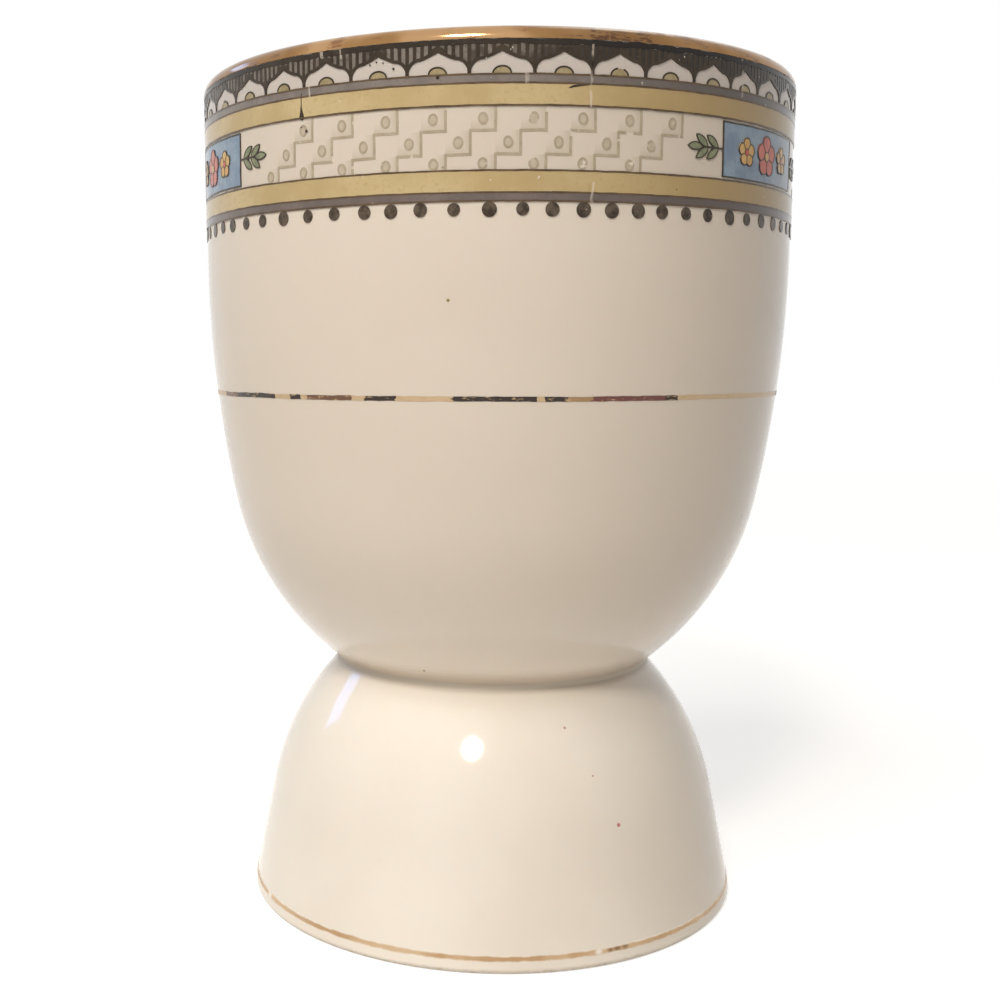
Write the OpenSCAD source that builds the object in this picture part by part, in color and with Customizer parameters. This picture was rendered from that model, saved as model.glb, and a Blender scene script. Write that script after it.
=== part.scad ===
// Double egg cup in glazed porcelain, standing on its small cup.
// Heights are measured up from the standing edge, and the axis of the cup is Z.
// The front of the cup faces -Y.

/* [Overall] */
// Height from the standing edge to the top of the lip
cup_h = 89; // [84:0.5:96]
// Height of the seam where the two cups are stuck together
seam_z = 26.7; // [25:0.1:28]
// Thickness of the fired wall
wall = 2.4; // [1.8:0.1:3]

/* [Large cup] */
// Outer radius of the straight upper wall
large_r = 31.65; // [30:0.05:34]
// Height of the bowl from the seam up to the foot of its straight wall
bowl_h = 44.3; // [40:0.1:46]
// Radius of the long curve down the side
side_curve_r = 126; // [100:1:160]
// Turn of the long side curve, in degrees
side_curve_turn = 12; // [10:0.5:14]
// Radius of the corner between the inner wall and the floor
large_corner_r = 15; // [11:0.5:17]
// Thickness of the floor at its centre
large_floor_t = 2.8; // [2:0.1:4]

/* [Small cup] */
// Outer radius at the standing edge, before that is rounded
foot_r = 27.6; // [26.5:0.1:29]
// Height of the straight flare above the standing edge
flare_h = 11.9; // [9:0.1:13]
// Lean of the flare from upright, in degrees
flare_lean = 11.4; // [10:0.2:13]
// Radius of the corner between the inner wall and the dome
small_corner_r = 10; // [7:0.5:12]
// Thickness of the dome at its centre
small_dome_t = 2.8; // [2:0.1:4]
// Rounding of both corners of the standing edge
foot_edge_r = 0.7; // [0.4:0.1:1]

/* [Waist] */
// Thickness of the slip between the two cups
slip_t = 0.3; // [0.2:0.05:0.6]
// Outer radius of both cups at the seam
waist_r = 17.5; // [16:0.1:19]
// Radius of the slip's fillet round the waist
waist_fillet_r = 0.5; // [0.4:0.1:2]

/* [Gilding] */
// Thickness of the fired gold
gilding_t = 0.08; // [0.05:0.01:0.15]
// Depth of the gold down the outside of the lip
lip_gilding_outer_h = 1.25; // [1.2:0.05:2]
// Depth of the gold down the inside of the lip
lip_gilding_inner_h = 1.8; // [1.2:0.1:4]
// Height of the gilt line round the body
body_line_z = 56.6; // [50:0.2:66]
// Width of the gilt line round the body
body_line_w = 0.45; // [0.3:0.05:1.5]
// Height of the gilt line above the standing edge
foot_line_z = 1.7; // [1.4:0.1:6]
// Width of the gilt line above the standing edge
foot_line_w = 0.6; // [0.3:0.1:1.2]

/* [Border] */
// Thickness of each printed or enamelled layer
enamel_t = 0.08; // [0.05:0.01:0.15]
// Width of the dark line under the lip gilding
lip_key_w = 0.45; // [0.2:0.05:0.8]
// Height of the band that holds the lappets
lappet_band_h = 2.45; // [2:0.05:4]
// Width of each thin dark line
key_line_w = 0.12; // [0.08:0.01:0.3]
// Height of each grey stripe
grey_stripe_h = 0.62; // [0.4:0.02:1.5]
// Height of each yellow band
yellow_band_h = 1.76; // [1:0.02:3]
// Height of the white field that holds the fret
field_h = 5.42; // [4.5:0.02:7]

/* [Lappets] */
// Number of lappets round the cup
lappet_count = 39; // [24:1:48]
// Width of one lappet at its foot
lappet_w = 4.9; // [2.5:0.05:4.95]
// Height of one lappet
lappet_h = 1.85; // [1:0.05:1.95]
// Width of the half-round at the foot of a lappet
lappet_centre_w = 1.6; // [1:0.1:2.4]
// Height of the half-round at the foot of a lappet
lappet_centre_h = 0.6; // [0.4:0.05:0.9]

/* [Fret] */
// Number of fret steps that a whole turn would hold
fret_count = 45; // [36:3:54]
// Height of one riser of the fret's steps
riser_h = 2.05; // [1.6:0.05:2.6]
// Width of the fret's lines
fret_line_w = 0.3; // [0.2:0.05:0.4]
// Diameter of the small roundels between the steps
roundel_d = 1; // [0.5:0.1:1.2]

/* [Flower panels] */
// Number of flower panels round the cup
panel_count = 3; // [2:1:3]
// Turn of the first panel's middle from the front, in degrees
panel_turn = 55; // [50:1:60]
// Width of the whole panel, with its leaves
panel_w = 24.3; // [23:0.1:26]
// Width of the panel's blue ground
blue_w = 15; // [11:0.1:15.1]
// White that is left above and below the blue ground
blue_margin = 0.25; // [0.1:0.05:0.5]
// Radius of the red blossom's petals
red_petal_r = 0.85; // [0.6:0.05:0.9]
// Radius of the yellow blossoms' petals
yellow_petal_r = 0.6; // [0.4:0.05:0.65]
// Distance of the yellow blossoms from the panel's middle
yellow_spread = 3.9; // [3.7:0.1:4.1]
// Width of a sprig's stem
stem_w = 0.22; // [0.15:0.01:0.3]
// Length of one leaf
leaf_l = 1.9; // [1.4:0.1:2]
// Width of one leaf
leaf_w = 0.8; // [0.5:0.05:0.9]
// Distance between the leaves along a sprig
leaf_pitch = 1.35; // [1.2:0.05:1.4]
// Number of leaf pairs on a sprig
leaf_pairs = 2; // [1:1:2]

/* [Beads] */
// Number of beads round the cup
bead_count = 70; // [40:1:80]
// Diameter of one bead
bead_d = 1.3; // [0.6:0.1:1.6]

/* [Hidden] */
$fn = 180;

porcelain = "#F0E4D4";
gold = "#C79A5B";
ink = "#443A30";
hatch_grey = "#6E655E";
stripe_grey = "#857B7C";
yellow = "#DEC795";
buff = "#B0A27C";
fret_grey = "#B8AC92";
blue = "#7E9CB8";
red = "#D3624A";
blossom_yellow = "#D9B56A";
olive = "#8A8F6E";

// Degrees between the points of a tight round stretch of an outline
edge_step = 12;
// Degrees between the points of a bowl's curve
arc_step = 3;
// Degrees between the points of the long side curve and of the waist
fine_step = 1;
// The front of the cup lies at this turn from +X
front_turn = -90;

// Points of an arc without its first one, from turn a0 to turn a1 round centre c.
function arc(c, r, a0, a1, step = arc_step) =
    let (n = max(1, ceil(abs(a1 - a0) / step)))
    [for (i = [1:n]) let (a = a0 + (a1 - a0) * i / n) [c[0] + r * cos(a), c[1] + r * sin(a)]];

// Radius of the arc that leaves a start square to a direction and ends at a point.
function arc_radius(start, dir, end) =
    let (way = end - start) -(way * way) / (2 * (way * dir));

// Large cup: a straight wall, the side curve, and a bowl curve that ends at the waist.
shoulder_z = seam_z + bowl_h;
side_centre = [large_r - side_curve_r, shoulder_z];
side_dir = [cos(side_curve_turn), -sin(side_curve_turn)];
side_foot = side_centre + side_curve_r * side_dir;
large_seat_z = seam_z + slip_t / 2;
bowl_curve_r = arc_radius(side_foot, side_dir, [waist_r, large_seat_z]);
bowl_centre = side_foot - bowl_curve_r * side_dir;
large_seat_turn = asin((bowl_centre[1] - large_seat_z) / bowl_curve_r);
large_floor_z = large_seat_z + large_floor_t;
large_inner_bowl_r = bowl_curve_r - wall;
large_corner_turn = asin(
    (bowl_centre[1] - large_corner_r - large_floor_z) / (large_inner_bowl_r - large_corner_r));
large_corner_centre = bowl_centre
    + (large_inner_bowl_r - large_corner_r) * [cos(large_corner_turn), -sin(large_corner_turn)];

// Outer radius of the large cup at height z.
function large_outer_r(z) =
    z >= shoulder_z ? large_r
    : z >= side_foot[1] ? side_centre[0] + sqrt(pow(side_curve_r, 2) - pow(shoulder_z - z, 2))
    : bowl_centre[0] + sqrt(pow(bowl_curve_r, 2) - pow(bowl_centre[1] - z, 2));

// Small cup: a straight flare, then an arc that is tangent to it and meets the seam.
small_seat_z = seam_z - slip_t / 2;
flare_dir = [cos(flare_lean), sin(flare_lean)];
flare_top = [foot_r - flare_h * tan(flare_lean), flare_h];
dome_curve_r = arc_radius(flare_top, flare_dir, [waist_r, small_seat_z]);
dome_centre = flare_top - dome_curve_r * flare_dir;
small_seat_turn = asin((small_seat_z - dome_centre[1]) / dome_curve_r);
small_dome_z = small_seat_z - small_dome_t;
small_inner_dome_r = dome_curve_r - wall;
small_corner_turn = asin(
    (small_dome_z - small_corner_r - dome_centre[1]) / (small_inner_dome_r - small_corner_r));
small_corner_centre = dome_centre
    + (small_inner_dome_r - small_corner_r) * [cos(small_corner_turn), sin(small_corner_turn)];

// Outer radius of the small cup at height z, on its straight flare.
function flare_outer_r(z) = foot_r - z * tan(flare_lean);

// Waist fillet: a circle that touches both cups from outside, in the notch of the seam.
fillet_to_bowl = bowl_curve_r + waist_fillet_r;
fillet_to_dome = dome_curve_r + waist_fillet_r;
centres_apart = norm(bowl_centre - dome_centre);
centres_dir = (bowl_centre - dome_centre) / centres_apart;
fillet_along = (pow(centres_apart, 2) + pow(fillet_to_dome, 2) - pow(fillet_to_bowl, 2))
    / (2 * centres_apart);
fillet_aside = sqrt(pow(fillet_to_dome, 2) - pow(fillet_along, 2));
fillet_centre = dome_centre + fillet_along * centres_dir
    + fillet_aside * [centres_dir[1], -centres_dir[0]];
function turn_to(from, to) = atan2(to[1] - from[1], to[0] - from[0]);
bowl_touch_turn = turn_to(bowl_centre, fillet_centre);
dome_touch_turn = turn_to(dome_centre, fillet_centre);
bowl_neck = arc(bowl_centre, bowl_curve_r, bowl_touch_turn, -large_seat_turn, fine_step);
dome_neck = arc(dome_centre, dome_curve_r, dome_touch_turn, small_seat_turn, fine_step);

// Standing edge: both corners are rounded, with a flat between them.
inner_shift = wall / cos(flare_lean);
outer_edge_centre = [
    foot_r - foot_edge_r * tan(flare_lean) - foot_edge_r / cos(flare_lean), foot_edge_r];
inner_edge_centre = [
    foot_r - inner_shift - foot_edge_r * tan(flare_lean) + foot_edge_r / cos(flare_lean),
    foot_edge_r];

// Heights of the border, from the lip down.
lip_r = wall / 2;
lip_key_top = cup_h - lip_gilding_outer_h;
lappet_top = lip_key_top - lip_key_w;
lappet_foot = lappet_top - lappet_band_h;
upper_grey_top = lappet_foot - key_line_w;
upper_grey_foot = upper_grey_top - grey_stripe_h;
upper_yellow_top = upper_grey_foot - key_line_w;
upper_yellow_foot = upper_yellow_top - yellow_band_h;
field_top = upper_yellow_foot - key_line_w;
field_foot = field_top - field_h;
lower_yellow_top = field_foot - key_line_w;
lower_yellow_foot = lower_yellow_top - yellow_band_h;
lower_grey_top = lower_yellow_foot - key_line_w;
lower_grey_foot = lower_grey_top - grey_stripe_h;
bead_top = lower_grey_foot - key_line_w;
bead_z = bead_top - bead_d / 2;

// Degrees round the upper wall that a length along it takes.
function wall_turn(length) = length / large_r * 180 / PI;

// Fret: each line steps down to the left, half a pitch at each riser, until the field ends.
fret_pitch = 2 * PI * large_r / fret_count;
fret_step_turn = 360 / fret_count;
fret_tread = fret_pitch / 2;
riser_count = ceil(field_h / riser_h);
riser_turn = wall_turn(fret_tread);

// Flower panels: blossoms stand on the blue, and leaves on the white beside it.
blue_h = field_h - 2 * blue_margin;
panel_middle_z = field_foot + field_h / 2;
petal_count = 5;
// Distance of a petal's middle from the blossom's, in petal radii
petal_reach_share = 1.3;
// Lean of a leaf from its sprig, in degrees
leaf_lean = 35;

// Lappet: the shoulder's place along the half width and up the height
shoulder_out_share = 0.6;
shoulder_up_share = 0.64;
// Degrees between the points of the lappet's two curves
lappet_step = 22.5;

// The prisms that cut a layer to shape reach this far each side of the wall's face.
layer_cut = wall / 2;
// The prisms of the lappets and their centres reach this far below their band.
overrun = 0.2;
// Sides of a small round, such as a petal or a bead
small_round_sides = 24;
// Height of the steps in which a ring follows the curve of the wall
ring_step = 1;

// Heights at which a ring follows the wall, from its foot to its top.
function ring_heights(z0, z1) =
    let (n = z0 >= shoulder_z ? 1 : ceil((z1 - z0) / ring_step))
    [for (i = [0:n]) z0 + (z1 - z0) * i / n];

// A ring that seats on the outside of the large cup, between two heights.
module ring(z0, z1, inner = 0, t = enamel_t) {
    heights = ring_heights(z0, z1);
    rotate_extrude()
        polygon(concat(
            [for (z = heights) [large_outer_r(z) + inner + t, z]],
            [for (i = [len(heights) - 1:-1:0]) [large_outer_r(heights[i]) + inner, heights[i]]]));
}

// A flat shape stood against the wall, at a turn from the front and a height.
module against_wall(turn, z) {
    rotate([0, 0, front_turn + turn])
        translate([large_r - layer_cut, 0, z])
            rotate([90, 0, 90])
                linear_extrude(height = 2 * layer_cut)
                    children();
}

// The lappets' ring, turned so that its seam runs down between two lappets.
module lappet_ring() {
    rotate([0, 0, front_turn + 180 / lappet_count])
        ring(lappet_foot, lappet_top);
}

module ellipse_half(w, h) {
    polygon(concat([[-w / 2, -overrun], [w / 2, -overrun]],
        [for (a = [lappet_step:lappet_step:180 - lappet_step]) [w / 2 * cos(a), h * sin(a)]]));
}

// A lappet swells to its shoulder and then sweeps in to a point.
module lappet_shape() {
    out = lappet_w / 2 * shoulder_out_share;
    up = lappet_h * shoulder_up_share;
    right = concat(
        [for (a = [lappet_step:lappet_step:90]) [out + (lappet_w / 2 - out) * cos(a), up * sin(a)]],
        [for (a = [lappet_step:lappet_step:90])
            [out * (1 - sin(a)), lappet_h - (lappet_h - up) * cos(a)]]);
    left = [for (i = [len(right) - 2:-1:0]) [-right[i][0], right[i][1]]];
    polygon(concat([[-lappet_w / 2, -overrun], [lappet_w / 2, -overrun]], right, left));
}

// One stepped line from its top end, down past the foot of the field.
module fret_line_shape() {
    half = fret_line_w / 2;
    last = riser_count - 1;
    right = [for (i = [0:last]) let (x = half - i * fret_tread)
        each [[x, i == 0 ? half : -half - i * riser_h], [x, -half - (i + 1) * riser_h]]];
    left = [for (i = [last:-1:0]) let (x = -half - i * fret_tread)
        each [[x, (i == last ? -half : half) - (i + 1) * riser_h], [x, half - i * riser_h]]];
    polygon(concat(right, left));
}

module blossom_shape(petal_r) {
    circle(r = petal_r, $fn = small_round_sides);
    for (i = [0:petal_count - 1])
        rotate(90 + i * 360 / petal_count)
            translate([petal_r * petal_reach_share, 0])
                circle(r = petal_r, $fn = small_round_sides);
}

// A leaf is what two equal circles share.
module leaf_shape() {
    leaf_curve_r = (pow(leaf_l, 2) + pow(leaf_w, 2)) / (4 * leaf_w);
    intersection() {
        translate([leaf_l / 2, leaf_curve_r - leaf_w / 2]) circle(r = leaf_curve_r);
        translate([leaf_l / 2, leaf_w / 2 - leaf_curve_r]) circle(r = leaf_curve_r);
    }
}

// A stem with pairs of leaves and one more leaf at its end.
module sprig_shape() {
    stem_l = leaf_pairs * leaf_pitch;
    translate([0, -stem_w / 2]) square([stem_l + leaf_l / 2, stem_w]);
    translate([stem_l, 0]) leaf_shape();
    for (pair = [1:leaf_pairs], side = [-1, 1])
        translate([(pair - 0.5) * leaf_pitch, 0]) rotate(side * leaf_lean) leaf_shape();
}

// Whether a fret line whose top end is at this turn lies clear of every flower panel.
function clear_of_panels(turn) =
    let (sector = 360 / panel_count,
         middle = turn - (riser_count - 1) * riser_turn / 2,
         off = abs((middle - panel_turn + panel_count * sector * 2) % sector - sector / 2))
    sector / 2 - off > (wall_turn(panel_w) + (riser_count - 1) * riser_turn) / 2;

module large_cup() {
    lip_centre = [large_r - lip_r, cup_h - lip_r];
    color(porcelain)
        rotate_extrude()
            polygon(concat(
                [[0, large_seat_z], [0, large_floor_z], [large_corner_centre[0], large_floor_z]],
                arc(large_corner_centre, large_corner_r, -90, -large_corner_turn),
                arc(bowl_centre, large_inner_bowl_r, -large_corner_turn, -side_curve_turn),
                arc(side_centre, side_curve_r - wall, -side_curve_turn, 0, fine_step),
                [[large_r - wall, cup_h - lip_r]],
                arc(lip_centre, lip_r, 180, 0, edge_step),
                [[large_r, shoulder_z]],
                arc(side_centre, side_curve_r, 0, -side_curve_turn, fine_step),
                arc(bowl_centre, bowl_curve_r, -side_curve_turn, bowl_touch_turn),
                bowl_neck));
}

module small_cup() {
    color(porcelain)
        rotate_extrude()
            polygon(concat(
                [[0, small_seat_z], [0, small_dome_z], [small_corner_centre[0], small_dome_z]],
                arc(small_corner_centre, small_corner_r, 90, small_corner_turn),
                arc(dome_centre, small_inner_dome_r, small_corner_turn, flare_lean),
                [inner_edge_centre + foot_edge_r * [-cos(flare_lean), -sin(flare_lean)]],
                arc(inner_edge_centre, foot_edge_r, 180 + flare_lean, 270, edge_step),
                [[outer_edge_centre[0], 0]],
                arc(outer_edge_centre, foot_edge_r, -90, flare_lean, edge_step),
                [flare_top],
                arc(dome_centre, dome_curve_r, flare_lean, dome_touch_turn),
                dome_neck));
}

module waist_slip() {
    bowl_touch = bowl_centre + bowl_curve_r * [cos(bowl_touch_turn), sin(bowl_touch_turn)];
    dome_touch = dome_centre + dome_curve_r * [cos(dome_touch_turn), sin(dome_touch_turn)];
    color(porcelain)
        rotate_extrude()
            polygon(concat(
                [[0, large_seat_z], [0, small_seat_z]],
                [for (i = [len(dome_neck) - 1:-1:0]) dome_neck[i]],
                [dome_touch],
                arc(fillet_centre, waist_fillet_r, 360 + turn_to(fillet_centre, dome_touch),
                    turn_to(fillet_centre, bowl_touch), edge_step),
                bowl_neck));
}

module lip_gilding() {
    lip_centre = [large_r - lip_r, cup_h - lip_r];
    color(gold)
        rotate_extrude()
            polygon(concat(
                [[large_r - wall, cup_h - lip_gilding_inner_h]],
                [[large_r - wall, cup_h - lip_r]],
                arc(lip_centre, lip_r, 180, 0, edge_step),
                [[large_r, lip_key_top]],
                [[large_r + gilding_t, lip_key_top]],
                [[large_r + gilding_t, cup_h - lip_r]],
                arc(lip_centre, lip_r + gilding_t, 0, 180, edge_step),
                [[large_r - wall - gilding_t, cup_h - lip_gilding_inner_h]]));
}

module lip_key_line() {
    color(ink) ring(lappet_top, lip_key_top);
}

module lappet_band() {
    color(hatch_grey)
        difference() {
            lappet_ring();
            for (i = [0:lappet_count - 1])
                against_wall(i * 360 / lappet_count, lappet_foot) lappet_shape();
        }
}

module lappet_centres() {
    color(buff)
        intersection() {
            lappet_ring();
            for (i = [0:lappet_count - 1])
                against_wall(i * 360 / lappet_count, lappet_foot)
                    ellipse_half(lappet_centre_w, lappet_centre_h);
        }
}

module upper_grey_stripe() {
    color(stripe_grey) ring(upper_grey_foot, upper_grey_top);
}

module upper_yellow_band() {
    color(yellow) ring(upper_yellow_foot, upper_yellow_top);
}

module stepped_fret() {
    color(fret_grey)
        intersection() {
            ring(field_foot, field_top);
            for (i = [0:fret_count - 1])
                if (clear_of_panels(i * fret_step_turn))
                    against_wall(i * fret_step_turn, field_top) fret_line_shape();
        }
}

module fret_roundels() {
    color(fret_grey)
        intersection() {
            ring(field_foot, field_top);
            for (i = [0:fret_count - 1], row = [0:riser_count - 1])
                if (clear_of_panels(i * fret_step_turn))
                    against_wall(i * fret_step_turn - (row + 0.5) * riser_turn,
                                 field_top - (row + 0.5) * riser_h)
                        circle(d = roundel_d, $fn = small_round_sides);
        }
}

module blue_panels() {
    color(blue)
        intersection() {
            ring(field_foot, field_top);
            for (i = [0:panel_count - 1])
                against_wall(panel_turn + i * 360 / panel_count, panel_middle_z)
                    square([blue_w, blue_h], center = true);
        }
}

module red_blossoms() {
    color(red)
        intersection() {
            ring(field_foot, field_top, enamel_t);
            for (i = [0:panel_count - 1])
                against_wall(panel_turn + i * 360 / panel_count, panel_middle_z)
                    blossom_shape(red_petal_r);
        }
}

module yellow_blossoms() {
    color(blossom_yellow)
        intersection() {
            ring(field_foot, field_top, enamel_t);
            for (i = [0:panel_count - 1], side = [-1, 1])
                against_wall(panel_turn + i * 360 / panel_count + side * wall_turn(yellow_spread),
                             panel_middle_z)
                    blossom_shape(yellow_petal_r);
        }
}

module leaf_sprigs() {
    color(olive)
        intersection() {
            ring(field_foot, field_top);
            for (i = [0:panel_count - 1], side = [-1, 1])
                against_wall(panel_turn + i * 360 / panel_count + side * wall_turn(blue_w / 2),
                             panel_middle_z)
                    rotate(side > 0 ? 0 : 180) sprig_shape();
        }
}

module lower_yellow_band() {
    color(yellow) ring(lower_yellow_foot, lower_yellow_top);
}

module lower_grey_stripe() {
    color(stripe_grey) ring(lower_grey_foot, lower_grey_top);
}

module key_lines() {
    color(ink)
        for (z = [upper_grey_top, upper_yellow_top, field_top, lower_yellow_top,
                  lower_grey_top, bead_top])
            ring(z, z + key_line_w);
}

module bead_row() {
    color(ink)
        intersection() {
            ring(bead_z - bead_d, bead_z + bead_d);
            for (i = [0:bead_count - 1])
                against_wall(i * 360 / bead_count, bead_z) circle(d = bead_d, $fn = small_round_sides);
        }
}

module body_gilt_line() {
    color(gold)
        ring(body_line_z - body_line_w / 2, body_line_z + body_line_w / 2, 0, gilding_t);
}

module foot_gilt_line() {
    z0 = foot_line_z - foot_line_w / 2;
    z1 = foot_line_z + foot_line_w / 2;
    color(gold)
        rotate_extrude()
            polygon([
                [flare_outer_r(z0), z0], [flare_outer_r(z0) + gilding_t, z0],
                [flare_outer_r(z1) + gilding_t, z1], [flare_outer_r(z1), z1]]);
}

large_cup();
small_cup();
waist_slip();
lip_gilding();
lip_key_line();
lappet_band();
lappet_centres();
upper_grey_stripe();
upper_yellow_band();
stepped_fret();
fret_roundels();
blue_panels();
red_blossoms();
yellow_blossoms();
leaf_sprigs();
lower_yellow_band();
lower_grey_stripe();
key_lines();
bead_row();
body_gilt_line();
foot_gilt_line();
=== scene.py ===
# %% [markdown]
# # A double egg cup in gilt and printed porcelain
# The cup is two bowls stuck foot to foot with slip, glazed and fired once. Its colours and golds
# are thin layers that are fired on afterwards, one after another. The lesson makes it in that
# order: the camera, the glazed bowls, the gold, and then the border print from the lip down.

# %% Load the frame
import math
import random
from types import SimpleNamespace

import bmesh
import bpy
from mathutils import Matrix, Quaternion, Vector


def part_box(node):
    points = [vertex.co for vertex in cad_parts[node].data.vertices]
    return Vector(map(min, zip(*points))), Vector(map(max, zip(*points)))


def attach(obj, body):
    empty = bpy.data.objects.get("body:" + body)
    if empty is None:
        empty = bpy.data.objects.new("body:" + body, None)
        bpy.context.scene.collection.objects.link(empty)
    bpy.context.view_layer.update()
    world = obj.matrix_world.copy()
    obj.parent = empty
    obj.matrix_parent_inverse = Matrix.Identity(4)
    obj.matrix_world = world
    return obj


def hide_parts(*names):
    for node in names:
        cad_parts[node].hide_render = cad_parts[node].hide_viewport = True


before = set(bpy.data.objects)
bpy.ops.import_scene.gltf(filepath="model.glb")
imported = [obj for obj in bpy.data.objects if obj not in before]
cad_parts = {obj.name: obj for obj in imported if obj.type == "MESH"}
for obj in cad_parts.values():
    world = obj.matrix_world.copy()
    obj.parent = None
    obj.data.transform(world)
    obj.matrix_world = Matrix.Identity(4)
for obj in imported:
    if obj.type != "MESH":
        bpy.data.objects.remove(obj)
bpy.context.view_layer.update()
MM = 0.001
scene = bpy.context.scene
scene.view_settings.view_transform = "Standard"
print("CAD nodes:", len(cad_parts))


# %% [markdown]
# ## The camera
# The photograph is taken from a little below the lip, close to the cup, so that the lip curves
# up and the foot curves down. A long way off, both would look flat. The place and the lens come
# from fitting the outline and the printed rings, and the small shift frames the cup.

# %% Camera
CAMERA_AT_MM = Vector((0.0, -152.93, 60.52))
CAMERA_YAW, CAMERA_PITCH, CAMERA_ROLL = -0.0655, -0.1319, -0.0004
CAMERA_LENS_MM, CAMERA_SHIFT = 48.35, (0.095, 0.0337)


def make_camera():
    data = bpy.data.cameras.new("camera")
    data.lens = CAMERA_LENS_MM
    data.shift_x, data.shift_y = CAMERA_SHIFT
    data.clip_start, data.clip_end = 0.01, 20.0
    level = math.cos(CAMERA_PITCH)
    ahead = Vector((math.sin(CAMERA_YAW) * level, math.cos(CAMERA_YAW) * level,
                    math.sin(CAMERA_PITCH)))
    aside = Vector((math.cos(CAMERA_YAW), -math.sin(CAMERA_YAW), 0.0))
    above = aside.cross(ahead)
    right = math.cos(CAMERA_ROLL) * aside + math.sin(CAMERA_ROLL) * above
    up = math.cos(CAMERA_ROLL) * above - math.sin(CAMERA_ROLL) * aside
    camera = bpy.data.objects.new("camera", data)
    camera.matrix_world = (Matrix.Translation(CAMERA_AT_MM * MM)
                           @ Matrix((right, up, -ahead)).transposed().to_4x4())
    scene.collection.objects.link(camera)
    scene.camera = camera
    print("Camera lens:", data.lens, "mm")


make_camera()


# %% [markdown]
# ## Colours and nodes
# Colours are written as a painter would pick them on a screen, and turned to the linear values
# that the renderer mixes. One small function adds a node with its settings and its links, for
# shaders and for Geometry Nodes alike. It gives back the node's output as a wire. Wires take part
# in sums as numbers do, so that a formula in nodes reads like a formula.

# %% Colours, nodes and wires
def linear(hex_colour):
    """The linear colour, with alpha, of an sRGB hex value."""
    channels = [int(hex_colour[i:i + 2], 16) / 255 for i in (1, 3, 5)]
    return tuple(c / 12.92 if c <= 0.04045 else ((c + 0.055) / 1.055) ** 2.4
                 for c in channels) + (1.0,)


def add(tree, kind, inputs=None, want=0, **settings):
    """Adds a node and gives the output that is wanted.

    inputs maps a socket's name or place to a value, a hex colour or another node's output.
    """
    made = tree.nodes.new(kind)
    for name, value in settings.items():
        setattr(made, name, value)
    for socket, value in (inputs or {}).items():
        if isinstance(value, Wire):
            tree.links.new(value.socket, made.inputs[socket])
        else:
            is_colour = isinstance(value, str) and value.startswith("#")
            made.inputs[socket].default_value = linear(value) if is_colour else value
    return Wire(tree, made.outputs[want]) if len(made.outputs) else made


class Wire:
    """A node's output. A sum with a wire or a number adds a Math node, and | takes the greater."""

    def __init__(self, tree, socket):
        self.tree, self.socket = tree, socket

    def maths(self, operation, *others):
        return add(self.tree, "ShaderNodeMath", dict(enumerate((self, *others))),
                   operation=operation)

    def part(self, axis):
        """The X, Y or Z of a vector, as 0, 1 or 2."""
        return add(self.tree, "ShaderNodeSeparateXYZ", {0: self}, axis)

    def __add__(self, other):
        return self.maths("ADD", other)

    def __sub__(self, other):
        return self.maths("SUBTRACT", other)

    def __rsub__(self, other):
        return add(self.tree, "ShaderNodeMath", {0: other, 1: self}, operation="SUBTRACT")

    def __mul__(self, other):
        return self.maths("MULTIPLY", other)

    def __truediv__(self, other):
        return self.maths("DIVIDE", other)

    def __gt__(self, other):
        return self.maths("GREATER_THAN", other)

    def __lt__(self, other):
        return self.maths("LESS_THAN", other)

    def __or__(self, other):
        return self.maths("MAXIMUM", other)


def ramp(value, low, high):
    """0 below low and 1 above high, with a smooth step between."""
    return add(value.tree, "ShaderNodeMapRange", {
        "Value": value, "From Min": low, "From Max": high}, interpolation_type="SMOOTHSTEP")


def between(value, low, high):
    """1 where a length is between two others in millimetres."""
    return (value > low * MM) * (value < high * MM)


def blend(share, first, second):
    """Mixes two colours by a share."""
    return add(share.tree, "ShaderNodeMix", {0: share, 6: first, 7: second}, 2, data_type="RGBA")


def grain(place, size_mm, detail=2.0, rough=0.5, stretch=None):
    """Noise whose patches are about size_mm across."""
    if stretch:
        place = add(place.tree, "ShaderNodeMapping", {"Vector": place, "Scale": stretch})
    return add(place.tree, "ShaderNodeTexNoise", {
        "Vector": place, "Scale": 1 / (size_mm * MM), "Detail": detail, "Roughness": rough})


def blank_tree(block):
    """The emptied node tree of a material or a world."""
    block.use_nodes = True
    block.node_tree.nodes.clear()
    return block.node_tree


def new_material(name):
    """A material and its Object coordinates, on which all its patterns are drawn."""
    material = bpy.data.materials.new(name)
    return material, add(blank_tree(material), "ShaderNodeTexCoord", want="Object")


def surface(place, **sockets):
    """Ends a material in its surface; an underscore in a socket's name stands for a space."""
    shader = add(place.tree, "ShaderNodeBsdfPrincipled", {
        name.replace("_", " "): value for name, value in sockets.items()})
    add(place.tree, "ShaderNodeOutputMaterial", {"Surface": shader})


# %% [markdown]
# ## The light and the floor
# The cup stands on a pale floor. Nearly all the light falls from a soft box high on the left, which
# mirrors nowhere, so that the glaze stays even, with a dim fill from the front. A small lamp makes
# the round sparkles. A cool window far behind on the left mirrors in the foot's shoulder and in the
# lip, and lights nothing else. The background is white by the floor's own colour and by the light
# path, and never by more light on the cup.

# %% Light
WINDOW_BLUE, LAMP_WARM, KEY_WHITE, ROOM_WHITE = "#7FABFF", "#FFF6EC", "#FFFEFC", "#FFF8F0"
PURE_WHITE, PAPER_WHITE = "#FFFFFF", "#E8E6E3"
ROOM_LIGHT, LAMP_AIM_MM = 0.19, Vector((0, 0, 45))
# The floor lights itself more the farther it is, so that it meets the white with no horizon.
FLOOR_HALF, LIFT_FROM, LIFT_TO = 3.0, 0.12, 1.0
FLOOR_LIFT_NEAR, FLOOR_LIFT_FAR = 0.68, 0.9


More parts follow.
